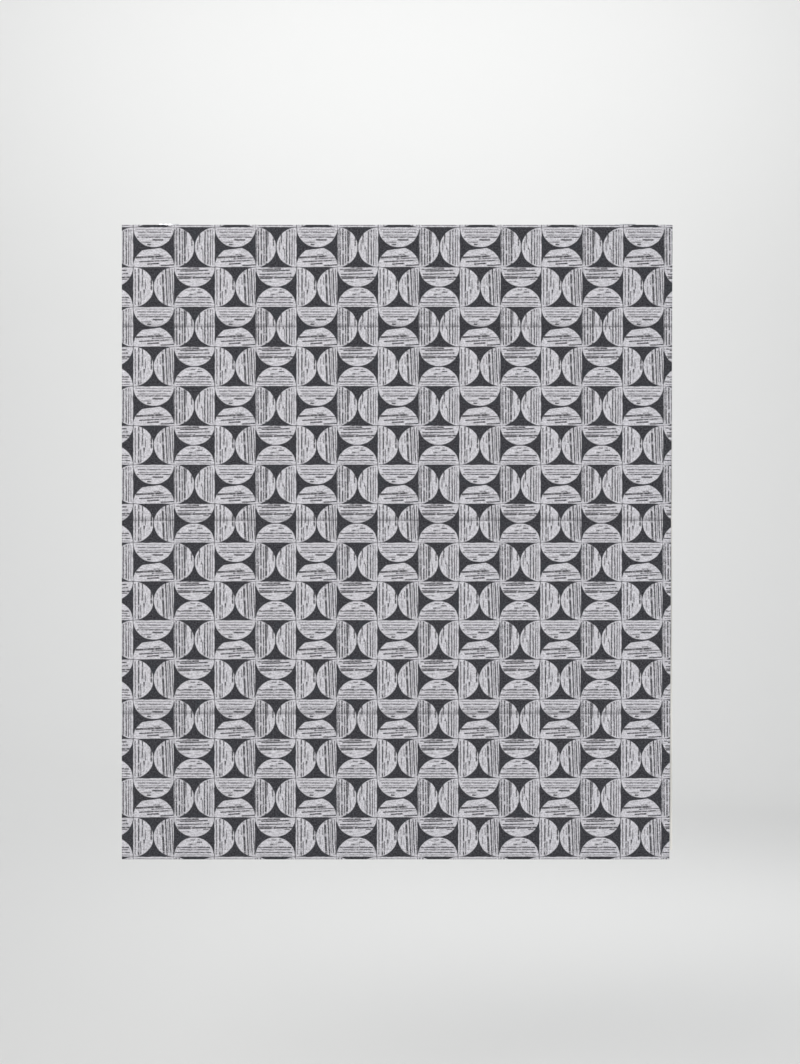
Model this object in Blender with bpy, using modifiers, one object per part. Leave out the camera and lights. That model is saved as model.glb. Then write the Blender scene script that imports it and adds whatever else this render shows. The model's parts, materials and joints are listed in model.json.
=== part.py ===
"""Roman blind with a spring lift: headrail, folding lined cloth on three rods, and the lift inside the rail.

Metres, +Z up, +X to the right, -Y towards the room. The origin is in the plane that the brackets are
screwed up against, midway between the blind's sides, at the front face of the headrail.
"""

import math

import bpy
from mathutils import Matrix, Vector

# Overall sizes
WIDTH = 0.826
DROP = 0.954
FIRST_SEAM_DROP = 0.154
ROD_PITCH = 0.291
ROD_COUNT = 3

# Clearances
GAP = 0.0003
HINGE_GAP = 0.00015
RUNNING_GAP = 0.0006

# Cloth, lining and tapes
FACE_THICKNESS = 0.0009
LINING_THICKNESS = 0.0006
TAPE_THICKNESS = 0.0010
TAPE_HEIGHT = 0.018
TAPE_INSET = 0.006
CLOTH_TOP_DROP = 0.002
LINING_SIDE_INSET = 0.002

# Rods and their pockets
ROD_RADIUS = 0.0015
ROD_SIDE_INSET = 0.020
POCKET_WALL = 0.0005
POCKET_HEIGHT = 0.014
POCKET_SIDE_INSET = 0.012

# Hem and bottom bar
HEM_HEIGHT = 0.016
BAR_HEIGHT = 0.012
BAR_DEPTH = 0.003
BAR_WALL = 0.0007
BAR_SIDE_INSET = 0.006
BAR_CAP_LENGTH = 0.003
BAR_TONGUE_LENGTH = 0.010
BAR_TONGUE_DEPTH = 0.001

# Cords, rings and adjusters
CORD_RADIUS = 0.0007
CORD_INSET = 0.120
CORD_TURN_PITCH = 0.0018
DEAD_TURNS = 1.5
RING_RADIUS = 0.0046
RING_WIRE_RADIUS = 0.0009
RING_PLATE_SIDE = 0.009
RING_PLATE_DEPTH = 0.0012
ADJUSTER_LENGTH = 0.020
ADJUSTER_BORE_DEPTH = 0.012
ADJUSTER_ROUND = 0.002

# Spools, cradles and shaft
SPOOL_RADIUS = 0.010
FLANGE_HEIGHT = 0.0025
FLANGE_THICKNESS = 0.0015
JOURNAL_RADIUS = 0.005
JOURNAL_LENGTH = 0.005
SHAFT_RADIUS = 0.003
SHAFT_OVERHANG = 0.012
CRADLE_WALL = 0.002
CRADLE_BASE = 0.0015
CORD_HOLE_SIDE = 0.006

# Headrail
RAIL_WALL = 0.0014
RAIL_LIP = 0.006
RAIL_HEADROOM = 0.0005
END_CAP_THICKNESS = 0.003
END_CAP_PLUG_LENGTH = 0.008
END_CAP_PLUG_HEIGHT = 0.007

# Brackets and their latches
BRACKET_INSET = 0.070
BRACKET_WIDTH = 0.030
BRACKET_PLATE = 0.0015
BRACKET_HOOK_REACH = 0.004
HOOK_SIDE_INSET = 0.002
SCREW_HOLE_RADIUS = 0.00225
SCREW_HOLE_OFFSET = 0.011
SCREW_HOLE_Y = 0.014
PIVOT_RADIUS = 0.002
RIVET_RADIUS = 0.004
RIVET_THICKNESS = 0.0012
LATCH_PLATE = 0.0015
LATCH_CAM = 0.002
LATCH_BOSS_RADIUS = 0.006
LATCH_HALF_WIDTH = 0.005
LATCH_GRIP = 0.003
LATCH_TAB_OVERHANG = 0.010

# Lift spring and brake
SPRING_COIL_RADIUS = 0.0065
SPRING_WIRE_RADIUS = 0.0006
SPRING_TURNS = 14
SPRING_END_INSET = 0.030
HUB_RADIUS = 0.008
HUB_LENGTH = 0.010
HOUSING_WALL = 0.001
BRAKE_LENGTH = 0.034
BRAKE_HUB_LENGTH = 0.026
BRAKE_WALL = 0.0015

# The fold at its limit
FOLD_LIMIT = math.radians(84)

# Layers from the rail's front face towards the room
HOOK_TAPE_FRONT = -GAP - TAPE_THICKNESS
LOOP_TAPE_FRONT = HOOK_TAPE_FRONT - GAP - TAPE_THICKNESS
LINING_BACK = LOOP_TAPE_FRONT - GAP
LINING_FRONT = LINING_BACK - LINING_THICKNESS
FACE_BACK = LINING_FRONT - GAP
FACE_FRONT = FACE_BACK - FACE_THICKNESS
CLOTH_DEPTH = LINING_BACK - FACE_FRONT

# Layers behind the cloth
POCKET_FRONT = LINING_BACK + GAP
POCKET_DEPTH = 2 * (ROD_RADIUS + GAP + POCKET_WALL)
POCKET_BACK = POCKET_FRONT + POCKET_DEPTH
RING_OUTER_RADIUS = RING_RADIUS + RING_WIRE_RADIUS
CORD_Y = POCKET_BACK + GAP + RING_OUTER_RADIUS
CORD_TURN_RADIUS = SPOOL_RADIUS + GAP + CORD_RADIUS
SHAFT_Y = CORD_Y + CORD_TURN_RADIUS

# Headrail section, sized round the spools
FLANGE_RADIUS = SPOOL_RADIUS + FLANGE_HEIGHT
RAIL_DEPTH = 2 * SHAFT_Y
RAIL_TOP = -(BRACKET_PLATE + GAP + LATCH_PLATE + GAP)
LIP_UNDERSIDE = RAIL_TOP - RAIL_WALL
SHAFT_Z = LIP_UNDERSIDE - RAIL_HEADROOM - FLANGE_RADIUS
CRADLE_FLOOR = SHAFT_Z - FLANGE_RADIUS - RUNNING_GAP
CRADLE_BOTTOM = CRADLE_FLOOR - CRADLE_BASE
RAIL_FLOOR = CRADLE_BOTTOM - GAP
RAIL_BOTTOM = RAIL_FLOOR - RAIL_WALL
RAIL_HALF = WIDTH / 2 - END_CAP_THICKNESS - GAP

# Seams, from the top down
SEAMS = [-(FIRST_SEAM_DROP + i * ROD_PITCH) for i in range(ROD_COUNT)]
FOLD_STARTS = [RAIL_BOTTOM] + SEAMS[:-1]
CLOTH_BOTTOM = -DROP

# Cord travel and what it needs on a spool
HALF_LENGTHS = [(start - seam) / 2 for start, seam in zip(FOLD_STARTS, SEAMS)]
FOLDED_HALVES = [half * math.cos(FOLD_LIMIT) + CLOTH_DEPTH * math.sin(FOLD_LIMIT) for half in HALF_LENGTHS]
CORD_TRAVEL = 2 * (sum(HALF_LENGTHS) - sum(FOLDED_HALVES))
LIFT_TURNS = CORD_TRAVEL / (2 * math.pi * CORD_TURN_RADIUS)
DRUM_LENGTH = (LIFT_TURNS + DEAD_TURNS + 2) * CORD_TURN_PITCH
CORD_SIDES = {"left": -(WIDTH / 2 - CORD_INSET), "centre": 0.0, "right": WIDTH / 2 - CORD_INSET}
SPOOL_LOW = -CORD_TURN_PITCH - FLANGE_THICKNESS
SPOOL_HIGH = SPOOL_LOW + DRUM_LENGTH + 2 * FLANGE_THICKNESS
CRADLE_LOW = SPOOL_LOW - RUNNING_GAP - CRADLE_WALL
CRADLE_HIGH = SPOOL_HIGH + RUNNING_GAP + CRADLE_WALL

SIDES = {"left": -1, "right": 1}
ROUND_STEPS = 32
WINDING_STEPS = 10
EXTRUDE_ALONG_X = (math.pi / 2, 0, math.pi / 2)
TURN_ABOUT_X = (0, math.pi / 2, 0)


def clear_scene():
    for obj in list(bpy.data.objects):
        bpy.data.objects.remove(obj)


def collection(name):
    made = bpy.data.collections.new(name)
    bpy.context.scene.collection.children.link(made)
    return made


def material(name, color, roughness, metallic=0.0):
    made = bpy.data.materials.new(name)
    made.use_nodes = True
    shader = made.node_tree.nodes["Principled BSDF"]
    shader.inputs["Base Color"].default_value = (*color, 1.0)
    shader.inputs["Roughness"].default_value = roughness
    shader.inputs["Metallic"].default_value = metallic
    return made


FINISHES = {
    "printed_cloth": ((0.36, 0.36, 0.38), 0.9, 0.0),
    "lining_cloth": ((0.82, 0.80, 0.76), 0.9, 0.0),
    "tape": ((0.85, 0.85, 0.84), 0.95, 0.0),
    "rail_aluminium": ((0.80, 0.80, 0.80), 0.45, 0.9),
    "steel": ((0.60, 0.61, 0.62), 0.35, 1.0),
    "white_plastic": ((0.85, 0.85, 0.83), 0.5, 0.0),
    "clear_plastic": ((0.75, 0.77, 0.78), 0.3, 0.0),
    "cord": ((0.88, 0.87, 0.84), 0.85, 0.0),
    "fibreglass": ((0.80, 0.80, 0.76), 0.55, 0.0),
}


def finish(obj, slot, home):
    """Puts a finished piece in its collection with its own material."""
    color, roughness, metallic = FINISHES[slot]
    obj.data.materials.append(material(f"{obj.name}_{slot}", color, roughness, metallic))
    home.objects.link(obj)
    return obj


def pivot(name, location, parent=None):
    """An empty on a joint's axis, which the pieces that turn about it are parented to."""
    empty = bpy.data.objects.new(name, None)
    empty.empty_display_size = 0.02
    BLIND.objects.link(empty)
    empty.location = location
    if parent:
        attach(empty, parent)
    PIVOTS[empty.name] = Vector(location)
    return empty


def taken_out(obj):
    """A primitive as it was added, taken out of the collection it was added to."""
    for home in obj.users_collection:
        home.objects.unlink(obj)
    return obj


def attach(obj, parent):
    """Parents a piece to a pivot and leaves it where it is."""
    obj.parent = parent
    obj.matrix_parent_inverse = Matrix.Translation(-PIVOTS[parent.name])


def box(name, low, high):
    """A block between two corners, with its origin at its middle."""
    middle = (Vector(low) + Vector(high)) / 2
    size = Vector(high) - Vector(low)
    bpy.ops.mesh.primitive_cube_add(size=1, location=middle)
    obj = bpy.context.object
    obj.name = name
    obj.scale = size
    bpy.ops.object.transform_apply(location=False, rotation=False, scale=True)
    return taken_out(obj)


def cylinder(name, radius, low, high):
    """A cylinder along Z between the middles of its two ends."""
    middle = (Vector(low) + Vector(high)) / 2
    bpy.ops.mesh.primitive_cylinder_add(
        vertices=ROUND_STEPS, radius=radius, depth=(Vector(high) - Vector(low)).length, location=middle
    )
    obj = bpy.context.object
    obj.name = name
    return taken_out(obj)


def outline(name, loops, depth):
    """A flat curve of closed loops, filled, with half its thickness to each side."""
    curve = bpy.data.curves.new(name, "CURVE")
    curve.dimensions = "2D"
    curve.fill_mode = "BOTH"
    curve.extrude = depth / 2
    for points in loops:
        spline = curve.splines.new("POLY")
        spline.points.add(len(points) - 1)
        for point, (across, up) in zip(spline.points, points):
            point.co = (across, up, 0, 1)
        spline.use_cyclic_u = True
    return bpy.data.objects.new(name, curve)


def section(name, loops, x_low, x_high):
    """An outline given as (y, z) points, run along X."""
    obj = outline(name, loops, x_high - x_low)
    obj.rotation_euler = EXTRUDE_ALONG_X
    obj.location = ((x_low + x_high) / 2, 0, 0)
    return obj


def plate(name, loops, z_low, z_high):
    """An outline given as (x, y) points, lying flat."""
    obj = outline(name, loops, z_high - z_low)
    obj.location = (0, 0, (z_low + z_high) / 2)
    return obj


def rod_along(name, radius, points, resolution=4):
    """A round wire through a list of points."""
    curve = bpy.data.curves.new(name, "CURVE")
    curve.dimensions = "3D"
    curve.bevel_depth = radius
    curve.bevel_resolution = resolution
    curve.use_fill_caps = True
    spline = curve.splines.new("POLY")
    spline.points.add(len(points) - 1)
    for point, place in zip(spline.points, points):
        point.co = (*place, 1)
    return bpy.data.objects.new(name, curve)


def turned(name, profile, closed=True):
    """A profile of (radius, height) points turned about Z."""
    mesh = bpy.data.meshes.new(name)
    points = [(radius, 0, height) for radius, height in profile]
    edges = [(i, i + 1) for i in range(len(points) - 1)]
    if closed:
        edges.append((len(points) - 1, 0))
    mesh.from_pydata(points, edges, [])
    obj = bpy.data.objects.new(name, mesh)
    screw = obj.modifiers.new("Screw", "SCREW")
    screw.steps = ROUND_STEPS
    screw.render_steps = ROUND_STEPS
    screw.use_merge_vertices = True
    screw.merge_threshold = 0.00001
    return obj


def turned_about_x(name, profile, x, closed=True):
    obj = turned(name, profile, closed)
    obj.rotation_euler = TURN_ABOUT_X
    obj.location = (x, SHAFT_Y, SHAFT_Z)
    return obj


def as_mesh(obj):
    """The same shape as a welded mesh, so that it can be cut or joined."""
    bpy.context.scene.collection.objects.link(obj)
    bpy.context.view_layer.update()
    graph = bpy.context.evaluated_depsgraph_get()
    mesh = bpy.data.meshes.new_from_object(obj.evaluated_get(graph), depsgraph=graph)
    name = obj.name
    place = obj.matrix_world.copy()
    bpy.data.objects.remove(obj)
    made = bpy.data.objects.new(name, mesh)
    made.matrix_world = place
    bpy.context.scene.collection.objects.link(made)
    bpy.context.view_layer.objects.active = made
    bpy.ops.object.select_all(action="DESELECT")
    made.select_set(True)
    bpy.ops.object.mode_set(mode="EDIT")
    bpy.ops.mesh.select_all(action="SELECT")
    bpy.ops.mesh.remove_doubles(threshold=0.000001)
    bpy.ops.mesh.normals_make_consistent(inside=False)
    bpy.ops.object.mode_set(mode="OBJECT")
    return taken_out(made)


def combine(obj, helper, operation):
    """Joins a helper shape to a piece, or cuts it away, and hides the helper."""
    CUTTERS.objects.link(helper)
    helper.hide_render = True
    helper.display_type = "WIRE"
    change = obj.modifiers.new(helper.name, "BOOLEAN")
    change.operation = operation
    change.object = helper
    change.solver = "EXACT"


def join(obj, helper):
    combine(obj, helper, "UNION")


def cut(obj, helper):
    combine(obj, helper, "DIFFERENCE")


def ring_points(across, up, radius, count=ROUND_STEPS):
    turns = [2 * math.pi * i / count for i in range(count)]
    return [(across + radius * math.cos(turn), up + radius * math.sin(turn)) for turn in turns]


def rectangle(low, high):
    return [(low[0], low[1]), (high[0], low[1]), (high[0], high[1]), (low[0], high[1])]


def make_headrail():
    """An open-topped channel with in-turned lips and a hole in its floor for each cord."""
    inner_front = RAIL_WALL
    inner_back = RAIL_DEPTH - RAIL_WALL
    lip_front = RAIL_WALL + RAIL_LIP
    lip_back = RAIL_DEPTH - RAIL_WALL - RAIL_LIP
    channel = [
        (0, RAIL_TOP),
        (0, RAIL_BOTTOM),
        (RAIL_DEPTH, RAIL_BOTTOM),
        (RAIL_DEPTH, RAIL_TOP),
        (lip_back, RAIL_TOP),
        (lip_back, LIP_UNDERSIDE),
        (inner_back, LIP_UNDERSIDE),
        (inner_back, RAIL_FLOOR),
        (inner_front, RAIL_FLOOR),
        (inner_front, LIP_UNDERSIDE),
        (lip_front, LIP_UNDERSIDE),
        (lip_front, RAIL_TOP),
    ]
    rail = as_mesh(section("headrail", [channel], -RAIL_HALF, RAIL_HALF))
    for side, x in CORD_SIDES.items():
        cut(rail, cord_hole(f"rail_hole_{side}", x, RAIL_BOTTOM, RAIL_FLOOR))
    finish(rail, "rail_aluminium", BLIND)


def cord_hole(name, x, z_low, z_high):
    reach = CORD_HOLE_SIDE / 2
    low = (x - reach, CORD_Y - reach, z_low - reach)
    high = (x + reach, CORD_Y + reach, z_high + reach / 2)
    return box(name, low, high)


def make_end_caps():
    for side, sign in SIDES.items():
        inner = sign * (RAIL_HALF + GAP)
        outer = sign * WIDTH / 2
        low = (min(inner, outer), 0, RAIL_BOTTOM)
        high = (max(inner, outer), RAIL_DEPTH, RAIL_TOP)
        cap = box(f"rail_end_cap_{side}", low, high)
        reach = inner - sign * END_CAP_PLUG_LENGTH
        root = inner + sign * END_CAP_THICKNESS / 2
        plug_low = (min(reach, root), RAIL_WALL + GAP, RAIL_FLOOR + GAP)
        plug_high = (max(reach, root), RAIL_DEPTH - RAIL_WALL - GAP, RAIL_FLOOR + END_CAP_PLUG_HEIGHT)
        join(cap, box(f"cap_plug_{side}", plug_low, plug_high))
        finish(cap, "white_plastic", BLIND)


def latch_pivot_y():
    return (RAIL_DEPTH - RAIL_WALL - RAIL_LIP) - LATCH_BOSS_RADIUS - 2 * RUNNING_GAP


def make_brackets():
    """A plate that is screwed up, with a hook under the rail's front lip and the latch's pivot pin."""
    leg_front = RAIL_WALL + RAIL_LIP + GAP
    leg_back = leg_front + BRACKET_PLATE
    hook_top = LIP_UNDERSIDE - GAP
    hook_bottom = hook_top - BRACKET_PLATE
    hook = [
        (leg_back, -BRACKET_PLATE / 2),
        (leg_front, -BRACKET_PLATE / 2),
        (leg_front, hook_top),
        (leg_front - BRACKET_HOOK_REACH, hook_top),
        (leg_front - BRACKET_HOOK_REACH, hook_bottom),
        (leg_back, hook_bottom),
    ]
    pin_y = latch_pivot_y()
    pin_bottom = LIP_UNDERSIDE - GAP - LATCH_CAM - GAP
    for side, sign in SIDES.items():
        x = sign * (WIDTH / 2 - BRACKET_INSET)
        half = BRACKET_WIDTH / 2
        edge = rectangle((x - half, RUNNING_GAP), (x + half, RAIL_DEPTH))
        holes = [ring_points(x + end * SCREW_HOLE_OFFSET, SCREW_HOLE_Y, SCREW_HOLE_RADIUS) for end in (-1, 1)]
        bracket = as_mesh(plate(f"bracket_{side}", [edge, *holes], -BRACKET_PLATE, 0))
        inside = half - HOOK_SIDE_INSET
        join(bracket, as_mesh(section(f"bracket_hook_{side}", [hook], x - inside, x + inside)))
        pin_low = (x, pin_y, pin_bottom - RIVET_THICKNESS / 2)
        pin_top = (x, pin_y, -BRACKET_PLATE / 2)
        join(bracket, cylinder(f"pivot_pin_{side}", PIVOT_RADIUS, pin_low, pin_top))
        head_low = (x, pin_y, pin_bottom - RIVET_THICKNESS)
        join(bracket, cylinder(f"rivet_{side}", RIVET_RADIUS, head_low, (x, pin_y, pin_bottom)))
        finish(bracket, "steel", BLIND)
        make_latch(side, x, pin_y)


def make_latch(side, x, pin_y):
    """A lever on the bracket's pin: its cam sits under the rail's back lip, and its tab sticks out behind."""
    tab_top = -BRACKET_PLATE - GAP
    tab_bottom = tab_top - LATCH_PLATE
    cam_top = LIP_UNDERSIDE - GAP
    cam_bottom = cam_top - LATCH_CAM
    tab_end = RAIL_DEPTH + LATCH_TAB_OVERHANG
    cam_end = RAIL_DEPTH - RAIL_WALL - RAIL_LIP + LATCH_GRIP
    low = (x - LATCH_HALF_WIDTH, pin_y)
    tab = rectangle(low, (x + LATCH_HALF_WIDTH, tab_end))
    cam = rectangle(low, (x + LATCH_HALF_WIDTH, cam_end))
    latch = cylinder(f"latch_{side}", LATCH_BOSS_RADIUS, (x, pin_y, cam_bottom), (x, pin_y, tab_top))
    join(latch, as_mesh(plate(f"latch_tab_{side}", [tab], tab_bottom, tab_top)))
    join(latch, as_mesh(plate(f"latch_cam_{side}", [cam], cam_bottom, cam_top)))
    bore_low = (x, pin_y, cam_bottom - LATCH_CAM)
    bore_high = (x, pin_y, tab_top + LATCH_CAM)
    cut(latch, cylinder(f"latch_bore_{side}", PIVOT_RADIUS + GAP, bore_low, bore_high))
    finish(latch, "steel", BLIND)
    attach(latch, pivot(f"latch_{side}_pivot", (x, pin_y, cam_top)))


def make_tapes():
    half = WIDTH / 2 - TAPE_INSET
    top = RAIL_TOP - (RAIL_TOP - RAIL_BOTTOM - TAPE_HEIGHT) / 2
    bottom = top - TAPE_HEIGHT
    hook = box("hook_tape", (-half, HOOK_TAPE_FRONT, bottom), (half, HOOK_TAPE_FRONT + TAPE_THICKNESS, top))
    finish(hook, "tape", BLIND)
    loop = box("loop_tape", (-half, LOOP_TAPE_FRONT, bottom), (half, LOOP_TAPE_FRONT + TAPE_THICKNESS, top))
    finish(loop, "tape", BLIND)


def cloth_pair(name, z_low, z_high, parent=None):
    """One stretch of the face cloth and of the lining behind it."""
    half = WIDTH / 2
    lining_half = half - LINING_SIDE_INSET
    face = box(f"{name}_cloth", (-half, FACE_FRONT, z_low), (half, FACE_BACK, z_high))
    finish(face, "printed_cloth", BLIND)
    low = (-lining_half, LINING_FRONT, z_low)
    lining = box(f"{name}_lining", low, (lining_half, LINING_BACK, z_high))
    finish(lining, "lining_cloth", BLIND)
    if parent:
        attach(face, parent)
        attach(lining, parent)


def make_panel(number, parent):
    """The two halves of one fold: the upper turns at its top seam, the lower at the crease between them.

    Returns the lower half's pivot, which carries the next fold, and the pivot that the seam's rod hangs from.
    """
    start = FOLD_STARTS[number - 1]
    seam = SEAMS[number - 1]
    crease = (start + seam) / 2
    upper = pivot(f"panel_{number}_fold", (0, FACE_FRONT, start), parent)
    cloth_pair(f"panel_{number}_upper", crease + HINGE_GAP, start - HINGE_GAP, upper)
    lower = pivot(f"panel_{number}_crease", (0, LINING_BACK, crease), upper)
    cloth_pair(f"panel_{number}_lower", seam + HINGE_GAP, crease - HINGE_GAP, lower)
    return lower, pivot(f"rod_{number}_hang", (0, FACE_FRONT, seam), lower)


def stadium(y_low, y_high, z_low, z_high):
    """A tall outline with round ends, as (y, z) points."""
    radius = (y_high - y_low) / 2
    middle = (y_low + y_high) / 2
    turns = [math.pi * i / 8 for i in range(9)]
    top = [(middle + radius * math.cos(t), z_high - radius + radius * math.sin(t)) for t in turns]
    bottom = [(middle - radius * math.cos(t), z_low + radius - radius * math.sin(t)) for t in turns]
    return top + bottom


def make_rod(number, hang):
    """A rod in its sewn pocket behind a seam."""
    seam = SEAMS[number - 1]
    half = WIDTH / 2 - POCKET_SIDE_INSET
    outer = stadium(POCKET_FRONT, POCKET_BACK, seam - POCKET_HEIGHT, seam)
    inner = stadium(
        POCKET_FRONT + POCKET_WALL,
        POCKET_BACK - POCKET_WALL,
        seam - POCKET_HEIGHT + POCKET_WALL,
        seam - POCKET_WALL,
    )
    pocket = section(f"rod_pocket_{number}", [outer, inner], -half, half)
    attach(finish(pocket, "lining_cloth", BLIND), hang)
    reach = WIDTH / 2 - ROD_SIDE_INSET
    rod_y = (POCKET_FRONT + POCKET_BACK) / 2
    rod_z = seam - POCKET_HEIGHT + POCKET_WALL + GAP + ROD_RADIUS
    rod = rod_along(f"rod_{number}", ROD_RADIUS, [(-reach, rod_y, rod_z), (reach, rod_y, rod_z)])
    attach(finish(rod, "fibreglass", BLIND), hang)


def guide_plate(name, x, z):
    """The flat foot of a ring or an adjuster, against the back of a rod pocket."""
    half = RING_PLATE_SIDE / 2
    front = POCKET_BACK + GAP
    return box(name, (x - half, front, z - half), (x + half, front + RING_PLATE_DEPTH, z + half))


def make_rings(number, hang):
    """A ring on the rod pocket at each cord, which runs down through it."""
    z = SEAMS[number - 1] - POCKET_HEIGHT / 2
    for side, x in CORD_SIDES.items():
        bpy.ops.mesh.primitive_torus_add(
            location=(x, CORD_Y, z),
            major_radius=RING_RADIUS,
            minor_radius=RING_WIRE_RADIUS,
            major_segments=24,
            minor_segments=8,
        )
        ring = bpy.context.object
        ring.name = f"cord_ring_{number}_{side}"
        taken_out(ring)
        join(ring, guide_plate(f"ring_plate_{number}_{side}", x, z))
        attach(finish(ring, "clear_plastic", BLIND), hang)


def adjuster_place():
    """The height of the middle of the cord adjusters."""
    return SEAMS[-1] - POCKET_HEIGHT / 2


def make_adjusters(hang):
    """The pegs on the lowest rod that the cords end in."""
    z = adjuster_place()
    half = ADJUSTER_LENGTH / 2
    bore = CORD_RADIUS + GAP
    radius = RING_RADIUS
    profile = [
        (0, half - ADJUSTER_BORE_DEPTH),
        (bore, half - ADJUSTER_BORE_DEPTH),
        (bore, half),
        (radius - ADJUSTER_ROUND, half),
        (radius, half - ADJUSTER_ROUND),
        (radius, -half + ADJUSTER_ROUND),
        (radius - ADJUSTER_ROUND, -half),
        (0, -half),
    ]
    for side, x in CORD_SIDES.items():
        adjuster = turned(f"cord_adjuster_{side}", profile, closed=False)
        adjuster.location = (x, CORD_Y, z)
        join(adjuster, guide_plate(f"adjuster_plate_{side}", x, z))
        attach(finish(adjuster, "clear_plastic", BLIND), hang)


def make_skirt(hang):
    """The cloth below the lowest rod: its hem is turned up behind the bottom bar."""
    half = WIDTH / 2
    top = SEAMS[-1] - HINGE_GAP
    hem_front = FACE_BACK + GAP + BAR_DEPTH + GAP
    hem_back = hem_front + FACE_THICKNESS
    hem_top = CLOTH_BOTTOM + HEM_HEIGHT
    floor = CLOTH_BOTTOM + FACE_THICKNESS
    hemmed = [
        (FACE_FRONT, top),
        (FACE_FRONT, CLOTH_BOTTOM),
        (hem_back, CLOTH_BOTTOM),
        (hem_back, hem_top),
        (hem_front, hem_top),
        (hem_front, floor),
        (FACE_BACK, floor),
        (FACE_BACK, top),
    ]
    attach(finish(section("skirt_cloth", [hemmed], -half, half), "printed_cloth", BLIND), hang)
    lining_half = half - LINING_SIDE_INSET
    bar_top = floor + GAP + BAR_HEIGHT
    low = (-lining_half, LINING_FRONT, bar_top + GAP)
    lining = box("skirt_lining", low, (lining_half, LINING_BACK, top))
    attach(finish(lining, "lining_cloth", BLIND), hang)
    make_bottom_bar(hang, FACE_BACK + GAP, floor + GAP)


def make_bottom_bar(hang, front, bottom):
    """A flat hollow bar in the hem, and the caps in its ends."""
    reach = WIDTH / 2 - BAR_SIDE_INSET
    half = reach - BAR_CAP_LENGTH - GAP
    back = front + BAR_DEPTH
    top = bottom + BAR_HEIGHT
    outer = rectangle((front, bottom), (back, top))
    inner = rectangle((front + BAR_WALL, bottom + BAR_WALL), (back - BAR_WALL, top - BAR_WALL))
    bar = section("bottom_bar", [outer, inner], -half, half)
    attach(finish(bar, "rail_aluminium", BLIND), hang)
    middle = (front + back) / 2
    for side, sign in SIDES.items():
        near = sign * (half + GAP)
        far = sign * reach
        cap = box(f"bar_cap_{side}", (min(near, far), front, bottom), (max(near, far), back, top))
        deep = sign * (half - BAR_TONGUE_LENGTH)
        root = near + sign * BAR_CAP_LENGTH / 2
        tongue_low = (min(deep, root), middle - BAR_TONGUE_DEPTH / 2, bottom + BAR_WALL + GAP)
        tongue_high = (max(deep, root), middle + BAR_TONGUE_DEPTH / 2, top - BAR_WALL - GAP)
        join(cap, box(f"bar_tongue_{side}", tongue_low, tongue_high))
        attach(finish(cap, "white_plastic", BLIND), hang)


def make_cradles():
    """The trestles in the rail that the spools turn in."""
    front = RAIL_WALL + GAP
    back = RAIL_DEPTH - RAIL_WALL - GAP
    top = SHAFT_Z + JOURNAL_RADIUS + CRADLE_WALL
    wall_front = SHAFT_Y - FLANGE_RADIUS
    wall_back = SHAFT_Y + FLANGE_RADIUS
    for side, x in CORD_SIDES.items():
        low = (x + CRADLE_LOW, front, CRADLE_BOTTOM)
        cradle = box(f"spool_cradle_{side}", low, (x + CRADLE_HIGH, back, CRADLE_FLOOR))
        cut(cradle, cord_hole(f"cradle_hole_{side}", x, CRADLE_BOTTOM, CRADLE_FLOOR))
        wall = rectangle((wall_front, CRADLE_FLOOR - CRADLE_BASE / 2), (wall_back, top))
        hole = ring_points(SHAFT_Y, SHAFT_Z, JOURNAL_RADIUS + GAP)
        for end, near in (("low", x + CRADLE_LOW), ("high", x + CRADLE_HIGH - CRADLE_WALL)):
            upright = section(f"cradle_wall_{side}_{end}", [wall, hole], near, near + CRADLE_WALL)
            join(cradle, as_mesh(upright))
        finish(cradle, "white_plastic", BLIND)


def make_spools(shaft):
    """The flanged drums that the cords wind on, with a journal at each end."""
    bore = SHAFT_RADIUS + GAP
    low = SPOOL_LOW
    high = SPOOL_HIGH
    profile = [
        (bore, high + JOURNAL_LENGTH),
        (JOURNAL_RADIUS, high + JOURNAL_LENGTH),
        (JOURNAL_RADIUS, high),
        (FLANGE_RADIUS, high),
        (FLANGE_RADIUS, high - FLANGE_THICKNESS),
        (SPOOL_RADIUS, high - FLANGE_THICKNESS),
        (SPOOL_RADIUS, low + FLANGE_THICKNESS),
        (FLANGE_RADIUS, low + FLANGE_THICKNESS),
        (FLANGE_RADIUS, low),
        (JOURNAL_RADIUS, low),
        (JOURNAL_RADIUS, low - JOURNAL_LENGTH),
        (bore, low - JOURNAL_LENGTH),
    ]
    for side, x in CORD_SIDES.items():
        spool = turned_about_x(f"cord_spool_{side}", profile, x)
        attach(finish(spool, "white_plastic", BLIND), shaft)


def make_cords():
    """Each cord: its first turns on the spool, then straight down through the rings to its adjuster."""
    end = adjuster_place() + ADJUSTER_LENGTH / 2 - ADJUSTER_BORE_DEPTH + GAP
    steps = 2 * WINDING_STEPS
    count = int(DEAD_TURNS * steps)
    for side, x in CORD_SIDES.items():
        points = []
        for i in range(count, 0, -1):
            turn = 2 * math.pi * i / steps
            y = SHAFT_Y - CORD_TURN_RADIUS * math.cos(turn)
            z = SHAFT_Z + CORD_TURN_RADIUS * math.sin(turn)
            points.append((x + CORD_TURN_PITCH * i / steps, y, z))
        points.append((x, CORD_Y, SHAFT_Z))
        points.append((x, CORD_Y, end))
        finish(rod_along(f"lift_cord_{side}", CORD_RADIUS, points, 2), "cord", BLIND)


def make_shaft(shaft):
    reach_low = CORD_SIDES["left"] + CRADLE_LOW - SHAFT_OVERHANG
    reach_high = CORD_SIDES["right"] + CRADLE_HIGH + SHAFT_OVERHANG
    ends = [(reach_low, SHAFT_Y, SHAFT_Z), (reach_high, SHAFT_Y, SHAFT_Z)]
    attach(finish(rod_along("lift_shaft", SHAFT_RADIUS, ends), "steel", BLIND), shaft)


def make_hub(name, x_low, length, shaft):
    bore = SHAFT_RADIUS + GAP
    profile = [(bore, length), (HUB_RADIUS, length), (HUB_RADIUS, 0), (bore, 0)]
    hub = turned_about_x(name, profile, x_low)
    attach(finish(hub, "white_plastic", BLIND), shaft)


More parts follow.
